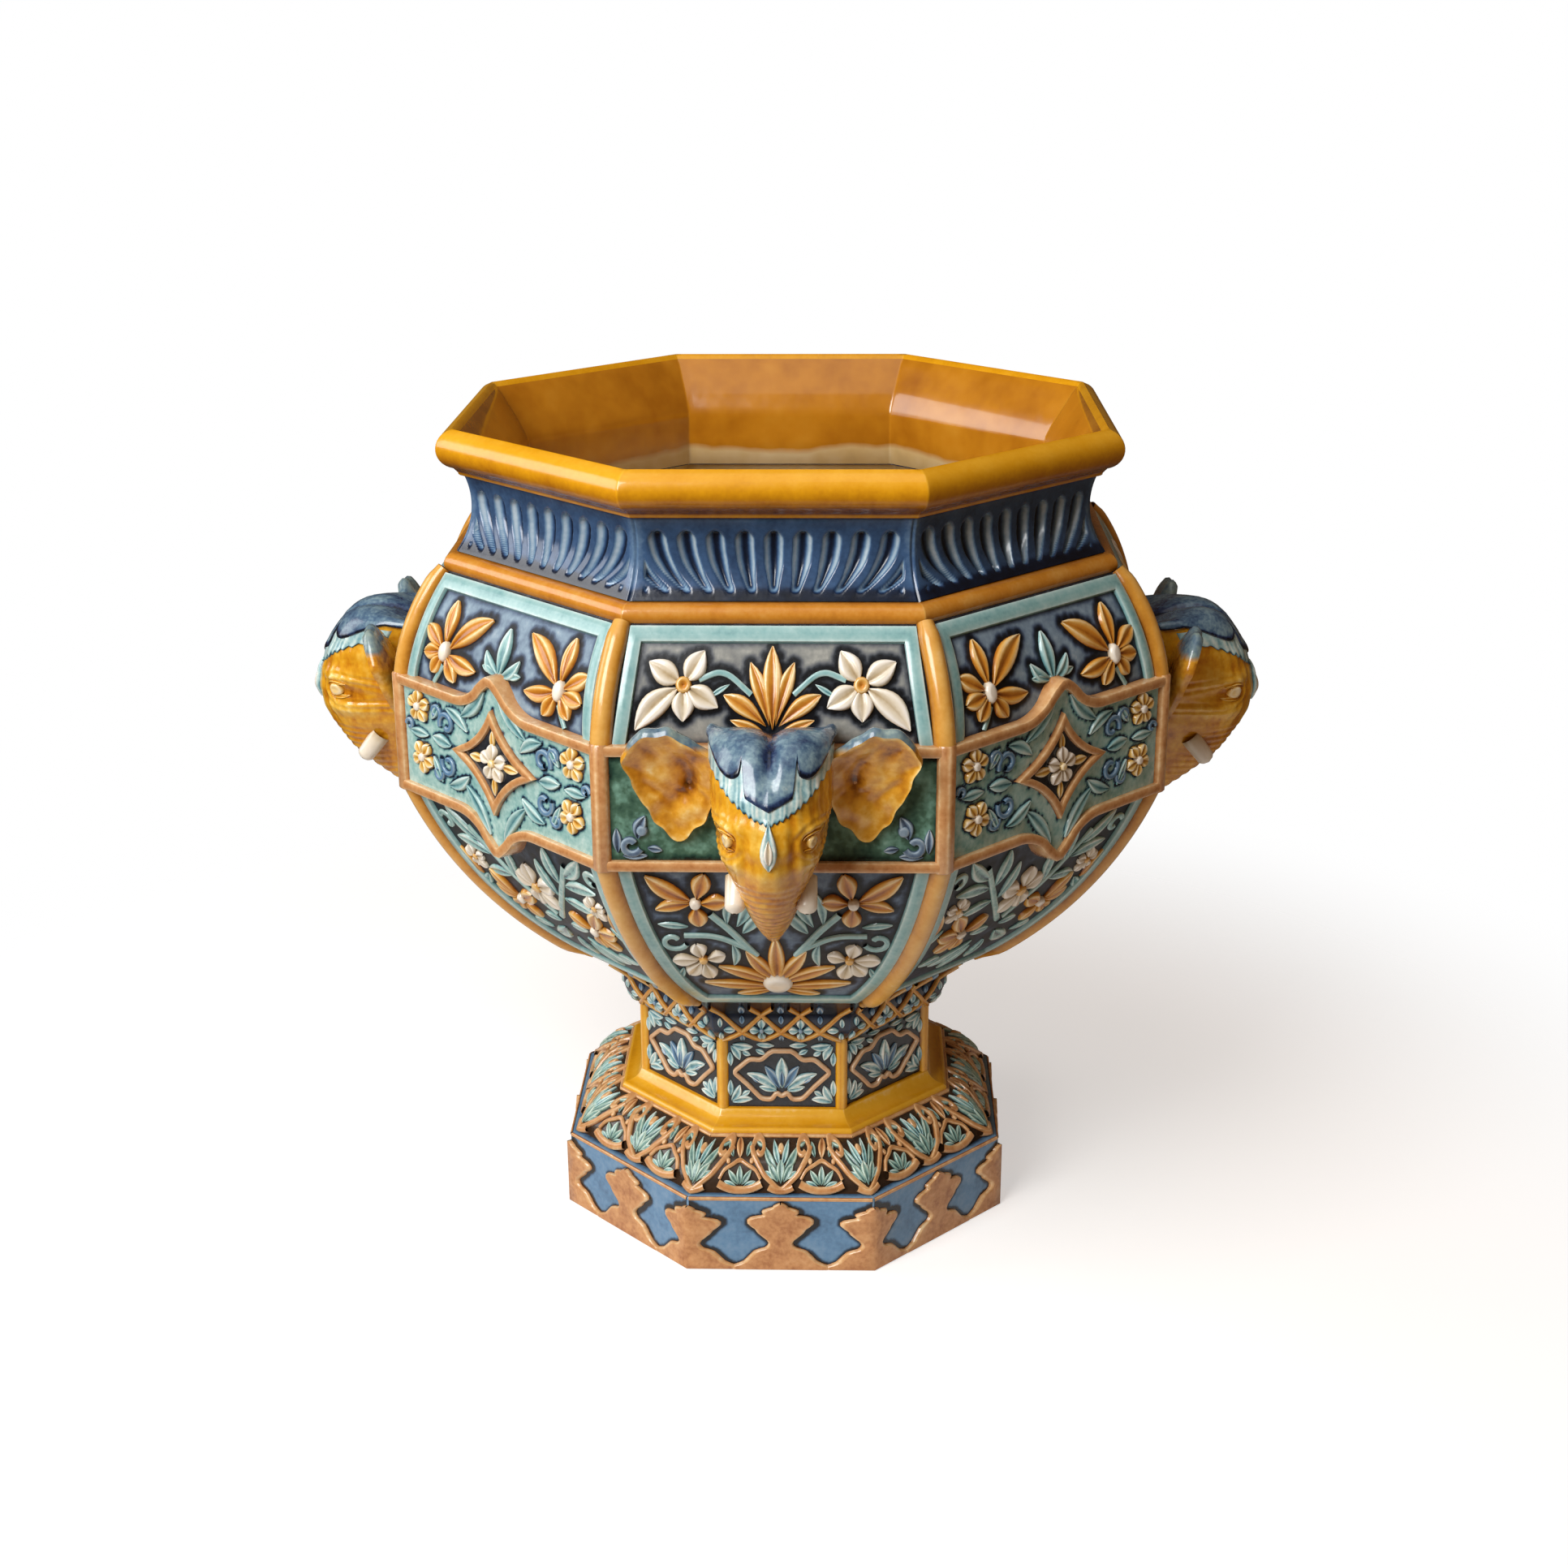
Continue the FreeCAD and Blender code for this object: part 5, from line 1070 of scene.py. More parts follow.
# %% Outline of an ear
EAR_OUTLINE = [(29.0, 341.0), (33.0, 327.0), (42.0, 316.0), (50.0, 309.0), (61.0, 323.0), (70.0, 341.0),
               (77.0, 361.0), (68.0, 373.0), (56.0, 377.5), (42.0, 371.0), (27.0, 358.0)]
EAR_MIDDLE, EAR_FRONT = np.array([52.0, 345.0]), 233.5


def about_middle(across, level, share):
    """Points moved to this share of their distance from the ear's middle."""
    return EAR_MIDDLE[0] + share * (across - EAR_MIDDLE[0]), EAR_MIDDLE[1] + share * (level - EAR_MIDDLE[1])


looped = softened([EAR_OUTLINE[-1], *EAR_OUTLINE, EAR_OUTLINE[0]], 5.0, 7)[1:-1]
gone = np.concatenate([[0], np.cumsum(np.hypot(*np.diff(looped, axis=0).T))])
even = np.linspace(0, gone[-1], 96, endpoint=False)
way_round = even / gone[-1] * 2 * math.pi
ragged = 1 + 0.022 * np.sin(way_round * 9) + 0.016 * np.sin(way_round * 14 + 1)
plain_across, plain_level = (np.interp(even, gone, looped[:, column]) for column in (0, 1))
rim_across, rim_level = about_middle(plain_across, plain_level, ragged)
print("way round an ear:", round(float(gone[-1])), "mm")

# %% Front of an ear


def ear_rings(share, sunk, roll=0.0):
    """Rings of the ear's outline shrunk to each share, this far behind its rim, and rolled up at the top."""
    across, level = about_middle(rim_across, rim_level, share)
    lean = 0.34 * (level - EAR_MIDDLE[1]) - 0.04 * (across - EAR_MIDDLE[0])
    level = level + roll * smooth_step(346, 372, level)
    return np.stack(np.broadcast_arrays(EAR_FRONT + lean - sunk, across, level), axis=-1)


front_share = np.array([1.0, 0.97, 0.92, *np.linspace(0.86, 0.06, 15), 0.0])[:, None]
front_across, front_level = about_middle(rim_across, rim_level, front_share)


def dimple(u, z, radius):
    """A round hollow pressed into the ear with a thumb."""
    return np.exp(-((front_across - u) ** 2 + (front_level - z) ** 2) / radius ** 2)


crumple = np.sin(front_across * 0.23 + front_level * 0.11 + np.sin(front_level * 0.19))
crumple = crumple + 0.8 * np.sin(front_level * 0.29 - front_across * 0.13 + 1.6 * np.sin(front_across * 0.14))
crumple = crumple + 0.45 * np.sin(front_across * 0.61 - front_level * 0.37 + 2.0 * np.sin(front_level * 0.23))
crumple = crumple * np.sin(math.pi * front_share) ** 0.5
bent = front_across - 42.0 - 0.03 * (front_level - 349) ** 2
crescent = np.exp(-(bent / 4.0) ** 2 - ((front_level - 349) / 9.5) ** 2)
sunk = 5.5 * (1 - front_share ** 2.4) - 0.8 * crumple + 4.5 * crescent + 1.6 * dimple(62.0, 355.0, 5.0)
# The crescent hollow is darker in the glaze: pooled glaze and painted shade.
ear_rise = 0.6 + 0.1 * crumple + 0.22 * smooth_step(0.9, 0.97, front_share) - 0.42 * crescent
ear_front = patch_of(ear_rings(front_share, sunk), ear_rise, wrap=True)
print("deepest place of an ear:", round(float(sunk.max()), 1), "mm behind its rim")

# %% Back of an ear, and the ears on all heads
back_share = np.array([0.0, 0.4, 0.75, 0.93, 1.0, 1.03, 1.02, 1.0])[:, None]
back_sunk = np.array([10.0, 9.5, 8.5, 6.5, 5.0, 3.0, 1.2, 0.0])[:, None]
back_roll = np.array([0.0, 1.0, 2.5, 3.4, 3.4, 2.6, 1.2, 0.0])[:, None]
ear_back = patch_of(ear_rings(back_share, back_sunk, back_roll), 0.25 + 0.35 * back_share, wrap=True)
EAR_STOPS = [(0.0, "#3f1d05"), (0.25, "#8c500f"), (0.45, "#bf7d1d"), (0.65, "#d99c2e"), (0.85, "#ebbd5e"),
             (1.0, "#f6dc9c")]
# Ochre in thick and thin patches, which look like hide.
ear_glaze = lead_glaze("mottled_ochre_glaze", EAR_STOPS, drift_mm=12.0, drift=0.8, grain_mm=3.4, grain=0.45)
# Blue brushed over ochre: blue above, ochre below, with a wavy border between them.
ear_back_glaze = lead_glaze("blue_over_ochre_glaze", [
    (0.0, "#111c2a"), (0.25, "#33485e"), (0.5, "#5c7586"), (0.75, "#869a97"), (1.0, "#c0cabb")],
    drift_mm=12.0, drift=0.8, grain_mm=3.0, grain=0.4, under=(EAR_STOPS, 0.367, 0.005))

for direction, turn in HEAD_NAMES.items():
    add_piece(f"ears_{direction}", [turned(each, turn) for each in (ear_front, flipped(ear_front))],
              ear_glaze, "ochre_glaze", f"ears_{direction}")
    add_piece(f"ear_backs_{direction}", [turned(each, turn) for each in (ear_back, flipped(ear_back))],
              ear_back_glaze, "cobalt_glaze", f"ears_{direction}")

# %% [markdown]
# ## Flowers on the panels
#
# The panels carry stylised flowers: white ones and a gold palmette over each head, gold ones with a
# turquoise lily between the heads, and mixed branches below the belt. Every petal is one pointed oval.
# The ground around them is brushed slate blue and goes nearly black beside the relief and along the
# panel's edges, where the glaze pools and where painted shade is added. One height field for a whole
# panel would blur the petals, so each is laid on the wall by itself.

# %% Flowers, scrolls and stalks


def flower(centre, tips, half=5.0, height=2.8, full=0.55, start=0.12):
    """Petals from near the centre to each tip. The width of a short petal is tied to its length."""
    centre = np.array(centre, float)
    petals = []
    for tip in np.array(tips, float):
        width = min(1.2 * half, 0.4 * np.hypot(*(tip - centre)))
        petals.append(petal(centre + start * (tip - centre), tip, width, 1.15 * height, full=full))
    return petals


def rosette(centre, radius, count=5, half=3.2, height=2.4, first=math.pi / 2):
    """A round flower with equal petals."""
    angle = first + np.arange(count) * 2 * math.pi / count
    tips = np.column_stack([centre[0] + radius * np.cos(angle), centre[1] + radius * np.sin(angle)])
    return flower(centre, tips, half, height, full=0.62)


def curl(centre, radius, start, sweep, half=1.5, height=1.6):
    """A ribbon that winds inward from start through sweep degrees, like the end of a scroll."""
    share = np.linspace(0, 1, 15)
    angle = np.radians(start + sweep * share)
    away = radius * (1 - 0.6 * share)
    path = np.column_stack([centre[0] + away * np.cos(angle), centre[1] + away * np.sin(angle)])
    return ribbon(path, half, height)


def stalk(points, half=1.7, height=1.6):
    """A soft stem through the points."""
    return ribbon(softened(points, 9.0, 7), half, height)


print("petals of a rosette:", len(rosette((0, 0), 5.0)))

# %% Grounds


def clear_of(shapes, across, level):
    """How far each point of a flat lies from the nearest point of these shapes."""
    places = [np.column_stack([each["across"].ravel(), each["level"].ravel()]) for each in shapes]
    marks = np.concatenate(places)[::2]
    squares = (across[..., None] - marks[:, 0]) ** 2 + (level[..., None] - marks[:, 1]) ** 2
    return np.min(squares, axis=-1) ** 0.5


def ground(wall, low, high, inset, shapes, body=0.5, lift=0.35):
    """The panel behind the shapes: pale in the open, dark beside them as pooled glaze and painted shade."""
    level = np.linspace(low, high, 70)[:, None]
    across = np.linspace(-1, 1, 100)[None, :] * (wall.half_side(level) - inset)
    beside = clear_of(shapes, across, level)
    from_ends = np.minimum(level - low, high - level)
    edge = np.minimum(wall.half_side(level) - inset - np.abs(across), from_ends + 2.5)
    near = np.minimum(beside, edge * 0.7)
    # Dark beside the shapes and by the panel's edges: pooled glaze and painted shade.
    return shape(across, level, lift, body * smooth_step(0.8, 5.6, near) - 0.08)


# Each ground's lower and upper level, and how far it stays inside the corners.
UPPER_GROUND, LOWER_GROUND = (BELT_TOP - 2, 413, 11), (178, BELT_LOW + 1, 11)
print("ground of the upper panels from", UPPER_GROUND[0], "to", UPPER_GROUND[1], "mm")

# %% [markdown]
# ### Over the heads
#
# A gold palmette of seven petals fans out behind the crown of each head, with a white flower on a
# turquoise stalk at either side. One side is drawn, petal by petal from base to tip, and the other is its
# mirror image.

# %% Palmettes and white flowers
palmette = [petal((0, 369), (0, 410), 5.6, 3.4, full=0.6)]
palmette += pair(petal((1.5, 371), (11.5, 402.5), 4.4, 3.0, bend=-1.0, full=0.62),
                 petal((3, 371), (25.5, 387), 5.0, 2.8, bend=-1.5, full=0.6),
                 petal((4, 368), (22, 374.5), 3.0, 2.4))
stalks = pair(stalk([(38, 394), (25, 399), (11, 387)], 1.6), petal((33, 385.5), (22, 392), 1.6, 1.4))
white_tips = [(35, 407.5), (64, 402.5), (46.5, 373.5), (28, 380.5)]
white_flowers = pair(*flower((46, 391.5), white_tips, 5.5, 3.0, full=0.46),
                     petal((49, 390), (71.5, 369), 7.0, 3.2, bend=-2.4, full=0.48))
flower_eyes = pair(bead((46, 391.5), 4.4, 3.6, dimple=0.6))
over_heads = palmette + stalks + white_flowers
add_relief("palmettes_over_heads", upper_wall, palmette + flower_eyes, HEAD_TURNS, gold, "ochre_glaze",
           "upper_gold_flowers")
add_relief("white_flowers_over_heads", upper_wall, white_flowers, HEAD_TURNS, ivory, "ivory_glaze",
           "upper_white_flowers")
add_relief("stalks_over_heads", upper_wall, stalks, HEAD_TURNS, turquoise, "turquoise_glaze")
add_relief("grounds_over_heads", upper_wall, [ground(upper_wall, *UPPER_GROUND, over_heads, 0.86)],
           HEAD_TURNS, slate, "slate_glaze")

# %% [markdown]
# ### Over the stars
#
# Two large gold flowers lean to a turquoise lily in the middle. Their petals differ in length, so each
# one is given its own tip. The lily stands a little to the left of the middle line, so its two sides are
# drawn apart.

# %% Gold flowers and lilies
gold_tips = [(53, 408), (70.5, 378), (72, 392.5), (40, 366), (62, 368)]
gold_flowers = pair(*flower((51.5, 381), gold_tips, 4.4, 2.8, full=0.6),
                    petal((48, 383), (17, 404), 6.6, 3.2, bend=2.0, full=0.5),
                    petal((48, 380), (22, 375.5), 5.2, 3.0, bend=-1.5, full=0.5))
gold_eyes = pair(bead((51.5, 381), 4.0, 4.2, squash=1.5))
lily = [petal((-1, 377), (-1, 403), 5.2, 2.8, full=0.55), stalk([(-1, 380), (-2, 374), (-3, 366)], 1.8)]
lily += [petal((0, 378), (14, 389), 3.8, 2.4, bend=2.5), petal((-2, 378), (-16, 389), 3.8, 2.4, bend=-2.5)]
lily += pair(stalk([(52, 374), (55, 369), (59, 363)], 1.5), petal((6, 379), (17, 381), 2.4, 2.0))
over_stars = gold_flowers + lily
add_relief("gold_flowers_over_stars", upper_wall, gold_flowers, STAR_TURNS, gold, "ochre_glaze",
           "upper_gold_flowers")
add_relief("flower_eyes_over_stars", upper_wall, gold_eyes, STAR_TURNS, ivory, "ivory_glaze")
add_relief("lilies_over_stars", upper_wall, lily, STAR_TURNS, turquoise, "turquoise_glaze", "upper_lilies")
add_relief("grounds_over_stars", upper_wall, [ground(upper_wall, *UPPER_GROUND, over_stars, 0.8)],
           STAR_TURNS, blue_slate, "slate_glaze")

# %% [markdown]
# ### Under the heads
#
# The panel narrows downward. At its top are two gold flowers, below them two small white ones, and on its
# foot stands the upper part of a large gold flower with a white heart. Turquoise stalks and leaves join
# them.

# %% Branches under the heads
under_gold = pair(*flower((42.5, 268.5), [(37, 289), (41, 251), (25, 269.5)], 5.0, 2.8, full=0.6),
                  petal((45, 270), (69, 287.5), 5.8, 3.0, bend=1.6),
                  petal((45, 268), (64.5, 263.5), 4.6, 2.8, bend=-1.2))
half_flower = [petal((0, 202), (0, 243), 5.2, 3.2, full=0.5)]
half_flower += pair(petal((1, 203), (17, 231), 5.0, 3.0), petal((3, 200), (33, 216), 5.0, 2.8, bend=-1.5),
                    petal((4, 195), (42, 199), 4.6, 2.6), petal((3, 191), (24, 184.5), 3.6, 2.2))
under_tips = [(58, 221.5), (28, 226.5), (37, 204), (49, 207), (44, 236)]
under_white = pair(*flower((40.5, 223), under_tips, 4.6, 2.6, full=0.62))
under_eyes = [bead((0, 199), 9.0, 4.0, squash=1.1)] + pair(bead((42.5, 268.5), 3.4, 4.0))
small_eyes = pair(bead((40.5, 223), 2.8, 3.6))
branches = pair(stalk([(35, 260), (24, 247), (11, 226)], 2.2, 1.8), curl((56, 238), 7.5, 200, 300, 1.7),
                stalk([(14, 231), (32, 243), (50, 243)], 1.9, 1.7),
                petal((21, 250), (12, 283), 4.4, 2.0, bend=-2.5), petal((18, 245), (6, 262), 4.0, 2.0),
                petal((26, 252), (22, 276), 3.0, 1.8, bend=1.5), petal((47, 250), (64, 252), 2.6, 1.6),
                petal((24, 236), (24, 216), 2.8, 1.6, bend=2.0),
                petal((52, 214), (60, 200), 2.8, 1.6, bend=1.5))
under_heads = under_gold + half_flower + under_white + branches
add_relief("gold_flowers_under_heads", lower_wall, under_gold + half_flower + small_eyes, HEAD_TURNS, gold,
           "ochre_glaze", "lower_gold_flowers")
add_relief("white_flowers_under_heads", lower_wall, under_white + under_eyes, HEAD_TURNS, ivory,
           "ivory_glaze", "lower_white_flowers")
add_relief("branches_under_heads", lower_wall, branches, HEAD_TURNS, turquoise, "turquoise_glaze")
add_relief("grounds_under_heads", lower_wall, [ground(lower_wall, *LOWER_GROUND, under_heads, 0.62)],
           HEAD_TURNS, blue_slate, "slate_glaze")

# %% [markdown]
# ### Under the stars
#
# A fern of aqua leaves branches to both sides over the whole panel, with white rosettes and gold flowers
# on it. To the carver a fern leaf is the same pointed oval as a petal, so no new helper is needed.

# %% Branches under the stars
fern = pair(stalk([(2, 228), (22, 250), (44, 279)], 2.0, 1.8),
            petal((30, 262), (29, 287), 5.0, 2.2, bend=-1.5),
            petal((38, 270), (61, 288), 5.0, 2.2, bend=2.0),
            petal((34, 262), (64, 266), 4.8, 2.2, bend=-1.5),
            petal((24, 250), (50, 246), 4.2, 2.0, bend=-1.0),
            petal((20, 250), (15, 275), 4.4, 2.0, bend=-1.5),
            petal((10, 214), (34, 200), 5.0, 2.2, bend=2.0), petal((6, 208), (12, 188), 4.4, 2.0),
            petal((30, 206), (48, 206), 4.0, 2.0, bend=-2.0), curl((66, 276), 6.0, 20, 280, 1.8),
            petal((4, 222), (20, 222), 3.6, 1.8, bend=-1.0), petal((56, 240), (68, 228), 3.2, 1.8))
star_white = rosette((0, 250), 17.0, 5, 5.4, 2.8) + pair(*rosette((55, 254), 9.0, 5, 3.4, 2.4))
star_tips = [(49, 247), (17, 237), (29, 215), (48, 219), (55, 233)]
star_gold = pair(*flower((34, 229), star_tips, 4.6, 2.8, full=0.6), petal((62, 238), (70, 258), 3.6, 2.4))
star_gold += [bead((0, 250), 3.6, 3.8)] + pair(bead((55, 254), 2.2, 3.0))
star_eyes = pair(bead((34, 229), 3.2, 3.8))
under_stars = fern + star_white + star_gold
add_relief("ferns_under_stars", lower_wall, fern, STAR_TURNS, aqua, "turquoise_glaze", "lower_ferns")
add_relief("white_flowers_under_stars", lower_wall, star_white + star_eyes, STAR_TURNS, ivory,
           "ivory_glaze", "lower_white_flowers")
add_relief("gold_flowers_under_stars", lower_wall, star_gold, STAR_TURNS, gold, "ochre_glaze",
           "lower_gold_flowers")
add_relief("grounds_under_stars", lower_wall, [ground(lower_wall, *LOWER_GROUND, under_stars, 0.3)],
           STAR_TURNS, blue_slate, "slate_glaze")

# %% [markdown]
# ### On the belt
#
# Between the heads a four-pointed star holds a white flower on a dark ground. Small gold flowers are
# stacked at both ends, blue scrolls curl between, and turquoise leaves lie along the ogee. Beside the
# ears there is room only for a dark blue scroll and a few leaves in each lower corner.

# %% Star
STAR_HALF, STAR_RISE = 34.0, 26.5
star_points = np.array([(STAR_HALF, BELT_MIDDLE), (0, BELT_MIDDLE + STAR_RISE), (-STAR_HALF, BELT_MIDDLE),
                        (0, BELT_MIDDLE - STAR_RISE)])
star_ends = np.roll(star_points, -1, axis=0)
star_line = np.concatenate([bow(start, end, -4.2, 9)[:-1] for start, end in zip(star_points, star_ends)])
star_band = ribbon(star_line, 2.5, 3.4, closed=True)
shrink = np.array([0.97, 0.75, 0.5, 0.25, 0.0])[:, None]
star_floor = shape(star_line[:, 0] * shrink, BELT_MIDDLE + (star_line[:, 1] - BELT_MIDDLE) * shrink, 0.9,
                   0.06 + 0.1 * shrink, True)
star_flower = rosette((0, BELT_MIDDLE), 11.5, 5, 4.4, 3.2)
star_core = [bead((0, BELT_MIDDLE), 2.6, 4.2)] + pair(petal((8, BELT_MIDDLE), (22, BELT_MIDDLE), 3.0, 2.4))
star_core += [petal((0, 338), (0, 349), 2.4, 2.2), petal((0, 322), (0, 311), 2.4, 2.2)]
print("points on the line of a star:", len(star_line))

# %% Small flowers, leaves and scrolls
stacked = pair(*rosette((70, 347), 10.0, 5, 3.6, 2.6), *rosette((68, 317), 10.0, 5, 3.6, 2.6, -math.pi / 2))
stacked_eyes = pair(bead((70, 347), 2.8, 3.6), bead((68, 317), 2.8, 3.6))
flanks = pair(petal((30, 350), (6, 370), 4.4, 2.2, bend=-2.0),
              petal((28, 311), (6, 286), 4.4, 2.2, bend=2.0),
              petal((44, 352), (24, 342), 4.0, 2.0, bend=2.0),
              petal((44, 306), (24, 316), 4.0, 2.0, bend=-2.0), petal((40, 330), (58, 332), 4.2, 2.0),
              petal((80, 331), (62, 331), 3.2, 1.8), petal((50, 352), (58, 342), 2.6, 1.8),
              petal((50, 306), (58, 320), 2.6, 1.8))
scrolls = pair(curl((44, 342), 7.0, -20, 320, 1.5), curl((44, 318), 7.0, 20, -320, 1.5),
               curl((54, 347), 4.6, 200, -300, 1.2), curl((54, 311), 4.6, 160, 300, 1.2),
               curl((80, 334), 3.4, 0, 300, 1.1))
print("leaves and scrolls beside a star:", len(flanks) + len(scrolls))

# %% Plates between the heads
across = np.linspace(-band_end, band_end, 121)[None, :]
share = np.linspace(0, 1, 61)[:, None]
low_line, high_line = (np.interp(across, edge[:, 0], edge[:, 1]) for edge in (lower_edge, upper_edge))
level = low_line + share * (high_line - low_line)
beside = clear_of(stacked + flanks + scrolls + [star_band], across, level)
star_plate = shape(across, level, 0.0, 0.68 * smooth_step(0.2, 2.6, beside) - 0.06)
add_relief("star_panels", belt_wall, [star_plate], STAR_TURNS, aqua, "green_glaze", "star_panels")
add_relief("star_cartouches", belt_wall, [star_band], STAR_TURNS, terracotta, "terracotta_glaze",
           "star_cartouches", sharp=45)
add_relief("star_floors", belt_wall, [star_floor], STAR_TURNS, slate, "slate_glaze")
add_relief("star_flowers", belt_wall, star_flower + stacked_eyes, STAR_TURNS, ivory, "ivory_glaze")
add_relief("star_gold_flowers", belt_wall, stacked + star_core, STAR_TURNS, cream, "ochre_glaze")
add_relief("star_leaves", belt_wall, flanks, STAR_TURNS, turquoise, "turquoise_glaze")
add_relief("star_scrolls", belt_wall, scrolls, STAR_TURNS, plinth_blue, "cobalt_glaze")

# %% Plates behind the heads
corner_leaves = pair(curl((74.5, 307.5), 5.6, 200, 300, 1.9, 2.6),
                     petal((71, 311), (66.5, 324), 4.0, 3.2, bend=1.2),
                     petal((81.5, 303), (82.0, 317), 2.8, 2.2), petal((79, 301.5), (66, 301.5), 2.4, 2.2),
                     bead((68.5, 316.0), 3.4, 3.4), petal((66, 306), (58, 304.5), 2.2, 1.8))
share = np.linspace(-1, 1, 61)[None, :]
level = np.linspace(BELT_FOOT + 4, BELT_TOP - 4, 31)[:, None]
edge = np.minimum((1 - np.abs(share)) * band_end, np.minimum(level - BELT_FOOT, BELT_TOP - level) - 6.0)
plain_plate = shape(share * band_end, level, 0.0, 0.1 + 0.46 * smooth_step(0.0, 6.0, edge))
add_relief("elephant_panels", belt_wall, [plain_plate], HEAD_TURNS, green, "green_glaze", "elephant_panels")
add_relief("elephant_panel_leaves", belt_wall, corner_leaves, HEAD_TURNS, blue_slate, "cobalt_glaze")

# %% [markdown]
# ## Ornament of the foot
#
# The foot is covered with small Persian ornament: a gold lattice on the collar, a shield-shaped frame
# with a palmette on each flat of the stem, palmettes over a lobed edge on the skirt, and terracotta
# trefoils on the plinth. Some of it is folded over a corner, so there is a wall that bends along its
# middle line. Bending it afterwards with a modifier would round the corner off.

# %% Corner walls


class CornerWall(Wall):
    """A wall folded along a corner of the octagon. Across is measured along the two flats."""

    def points(self, across, level, lift, turn):
        """Places in space, where the corner looks in direction turn and each half lies on its own flat."""
        slope = np.interp(level, self.levels, self.slopes)
        steep = np.hypot(1, slope)
        face = self.face(level) + lift / steep
        out = face / math.cos(HALF_TURN) - np.abs(across) * math.sin(HALF_TURN)
        return spun(out, across * math.cos(HALF_TURN), level - lift * slope / steep, turn)


print("a corner wall is folded by", round(math.degrees(2 * HALF_TURN)), "degrees")

# %% Cut plates and folded strips


def plate(outline, height, lip=1.6):
    """A cut-out plate that is symmetrical about its middle line.

    The outline gives (level, half width) points. The edge goes down to the wall over a small round lip.
    """
    levels, halves = np.array(outline, float).T
    level = np.linspace(levels[0], levels[-1], 90)[:, None]
    half = np.interp(level, levels, halves)
    inset = np.array([0.0, 0.3, 1.0, 1.8])
    border = np.maximum(half - lip * inset, half * np.linspace(1, 0.75, 4))
    across = np.concatenate([-border, half * [-0.35, 0.0, 0.35], border[:, ::-1]], axis=1)
    lift = height * np.array([-0.4, 0.6, 0.95, 1.0, 1.0, 1.0, 1.0, 1.0, 0.95, 0.6, -0.4])
    rise = np.array([0.0, 0.85, 0.75, 0.5, 0.45, 0.45, 0.45, 0.5, 0.75, 0.85, 0.0])
    return shape(across, level, lift, rise)


def corner_strip(low, high, width, height):
    """An upright strip folded over a corner, with its edges bent down to the wall."""
    right = np.array([0.4, width / 2, width - 1.3, width - 0.3, width])
    across = np.concatenate([-right[::-1], right])
    lift = height * np.array([-0.3, 0.7, 1.0, 1.05, 1.0, 1.0, 1.05, 1.0, 0.7, -0.3])
    rise = np.array([0.1, 0.8, 0.6, 0.5, 0.8, 0.8, 0.5, 0.6, 0.8, 0.1])
    return shape(across[None, :], np.linspace(low, high, 7)[:, None], lift, rise)


print("points of a cut plate:", plate([(0, 5), (10, 2)], 2.0)["across"].size)

# %% [markdown]
# ### Collar
#
# Gold bars cross on the dark blue collar and run on over the foot of the bowl. Pale flowers fill the
# meshes, and blue buds the small gaps. A bar is a ribbon whose line has a point every few millimetres, so
# that it follows the bulge of the collar.

# %% Collar lattice
LATTICE_PITCH, LATTICE_LOW, LATTICE_TOP = 23.4, STEM_TOP + 0.8, COLLAR_TOP - 0.4
collar_wall = Wall(np.concatenate([collar_curve, [(107.5, 160.0), (PANEL_LOW_FACE, PANEL_LOW)]]))
half_pitch = LATTICE_PITCH / 2
CROSSING, CONE_TOP = 140.5, 162.0
bars = []
for place in (-1, 0, 1):
    middle = place * LATTICE_PITCH
    for way in (-1, 1):
        bar_line = [(middle - way * half_pitch, LATTICE_LOW), (middle, CROSSING),
                    (middle + way * half_pitch, LATTICE_TOP), (middle + way * 1.6 * half_pitch, CONE_TOP)]
        bars.append(ribbon(walked(bar_line), 1.3, 2.2))
collar_middle = (LATTICE_LOW + LATTICE_TOP) / 2
collar_blue = pair(*rosette((half_pitch, collar_middle), 7.4, 4, 2.3, 2.0))
collar_blue += pair(petal((34.5, collar_middle), (27.5, collar_middle), 2.3, 2.0),
                    petal((36, 139.5), (36, 133.5), 1.8, 1.8), petal((36.5, 144), (36.5, 150), 1.8, 1.8))
bud_places = (-LATTICE_PITCH, 0, LATTICE_PITCH)
collar_buds = pair(bead((half_pitch, collar_middle), 1.5, 2.4))
collar_buds += [petal((place, level), (place, level + step), 1.9, 1.8) for place in bud_places
                for level, step in ((LATTICE_LOW + 0.3, 5.6), (LATTICE_TOP - 0.3, -5.6))]
collar_buds += [petal((place, 155), (place, 163), 2.4, 1.8) for place in bud_places]
add_relief("collar_lattice", collar_wall, bars, ALL_TURNS, gold, "ochre_glaze", "collar_lattice")
add_relief("collar_flowers", collar_wall, collar_blue, ALL_TURNS, fringe_glaze, "turquoise_glaze")
add_relief("collar_buds", collar_wall, collar_buds, ALL_TURNS, plinth_blue, "cobalt_glaze")

# %% [markdown]
# ### Stem
#
# Each flat of the stem has a shield-shaped frame round a palmette, with small leaves in its corners, and an
# ochre strip covers each corner of the stem. Half of the shield's line is drawn, and the other half is its
# mirror image, so that the frame closes without a seam.

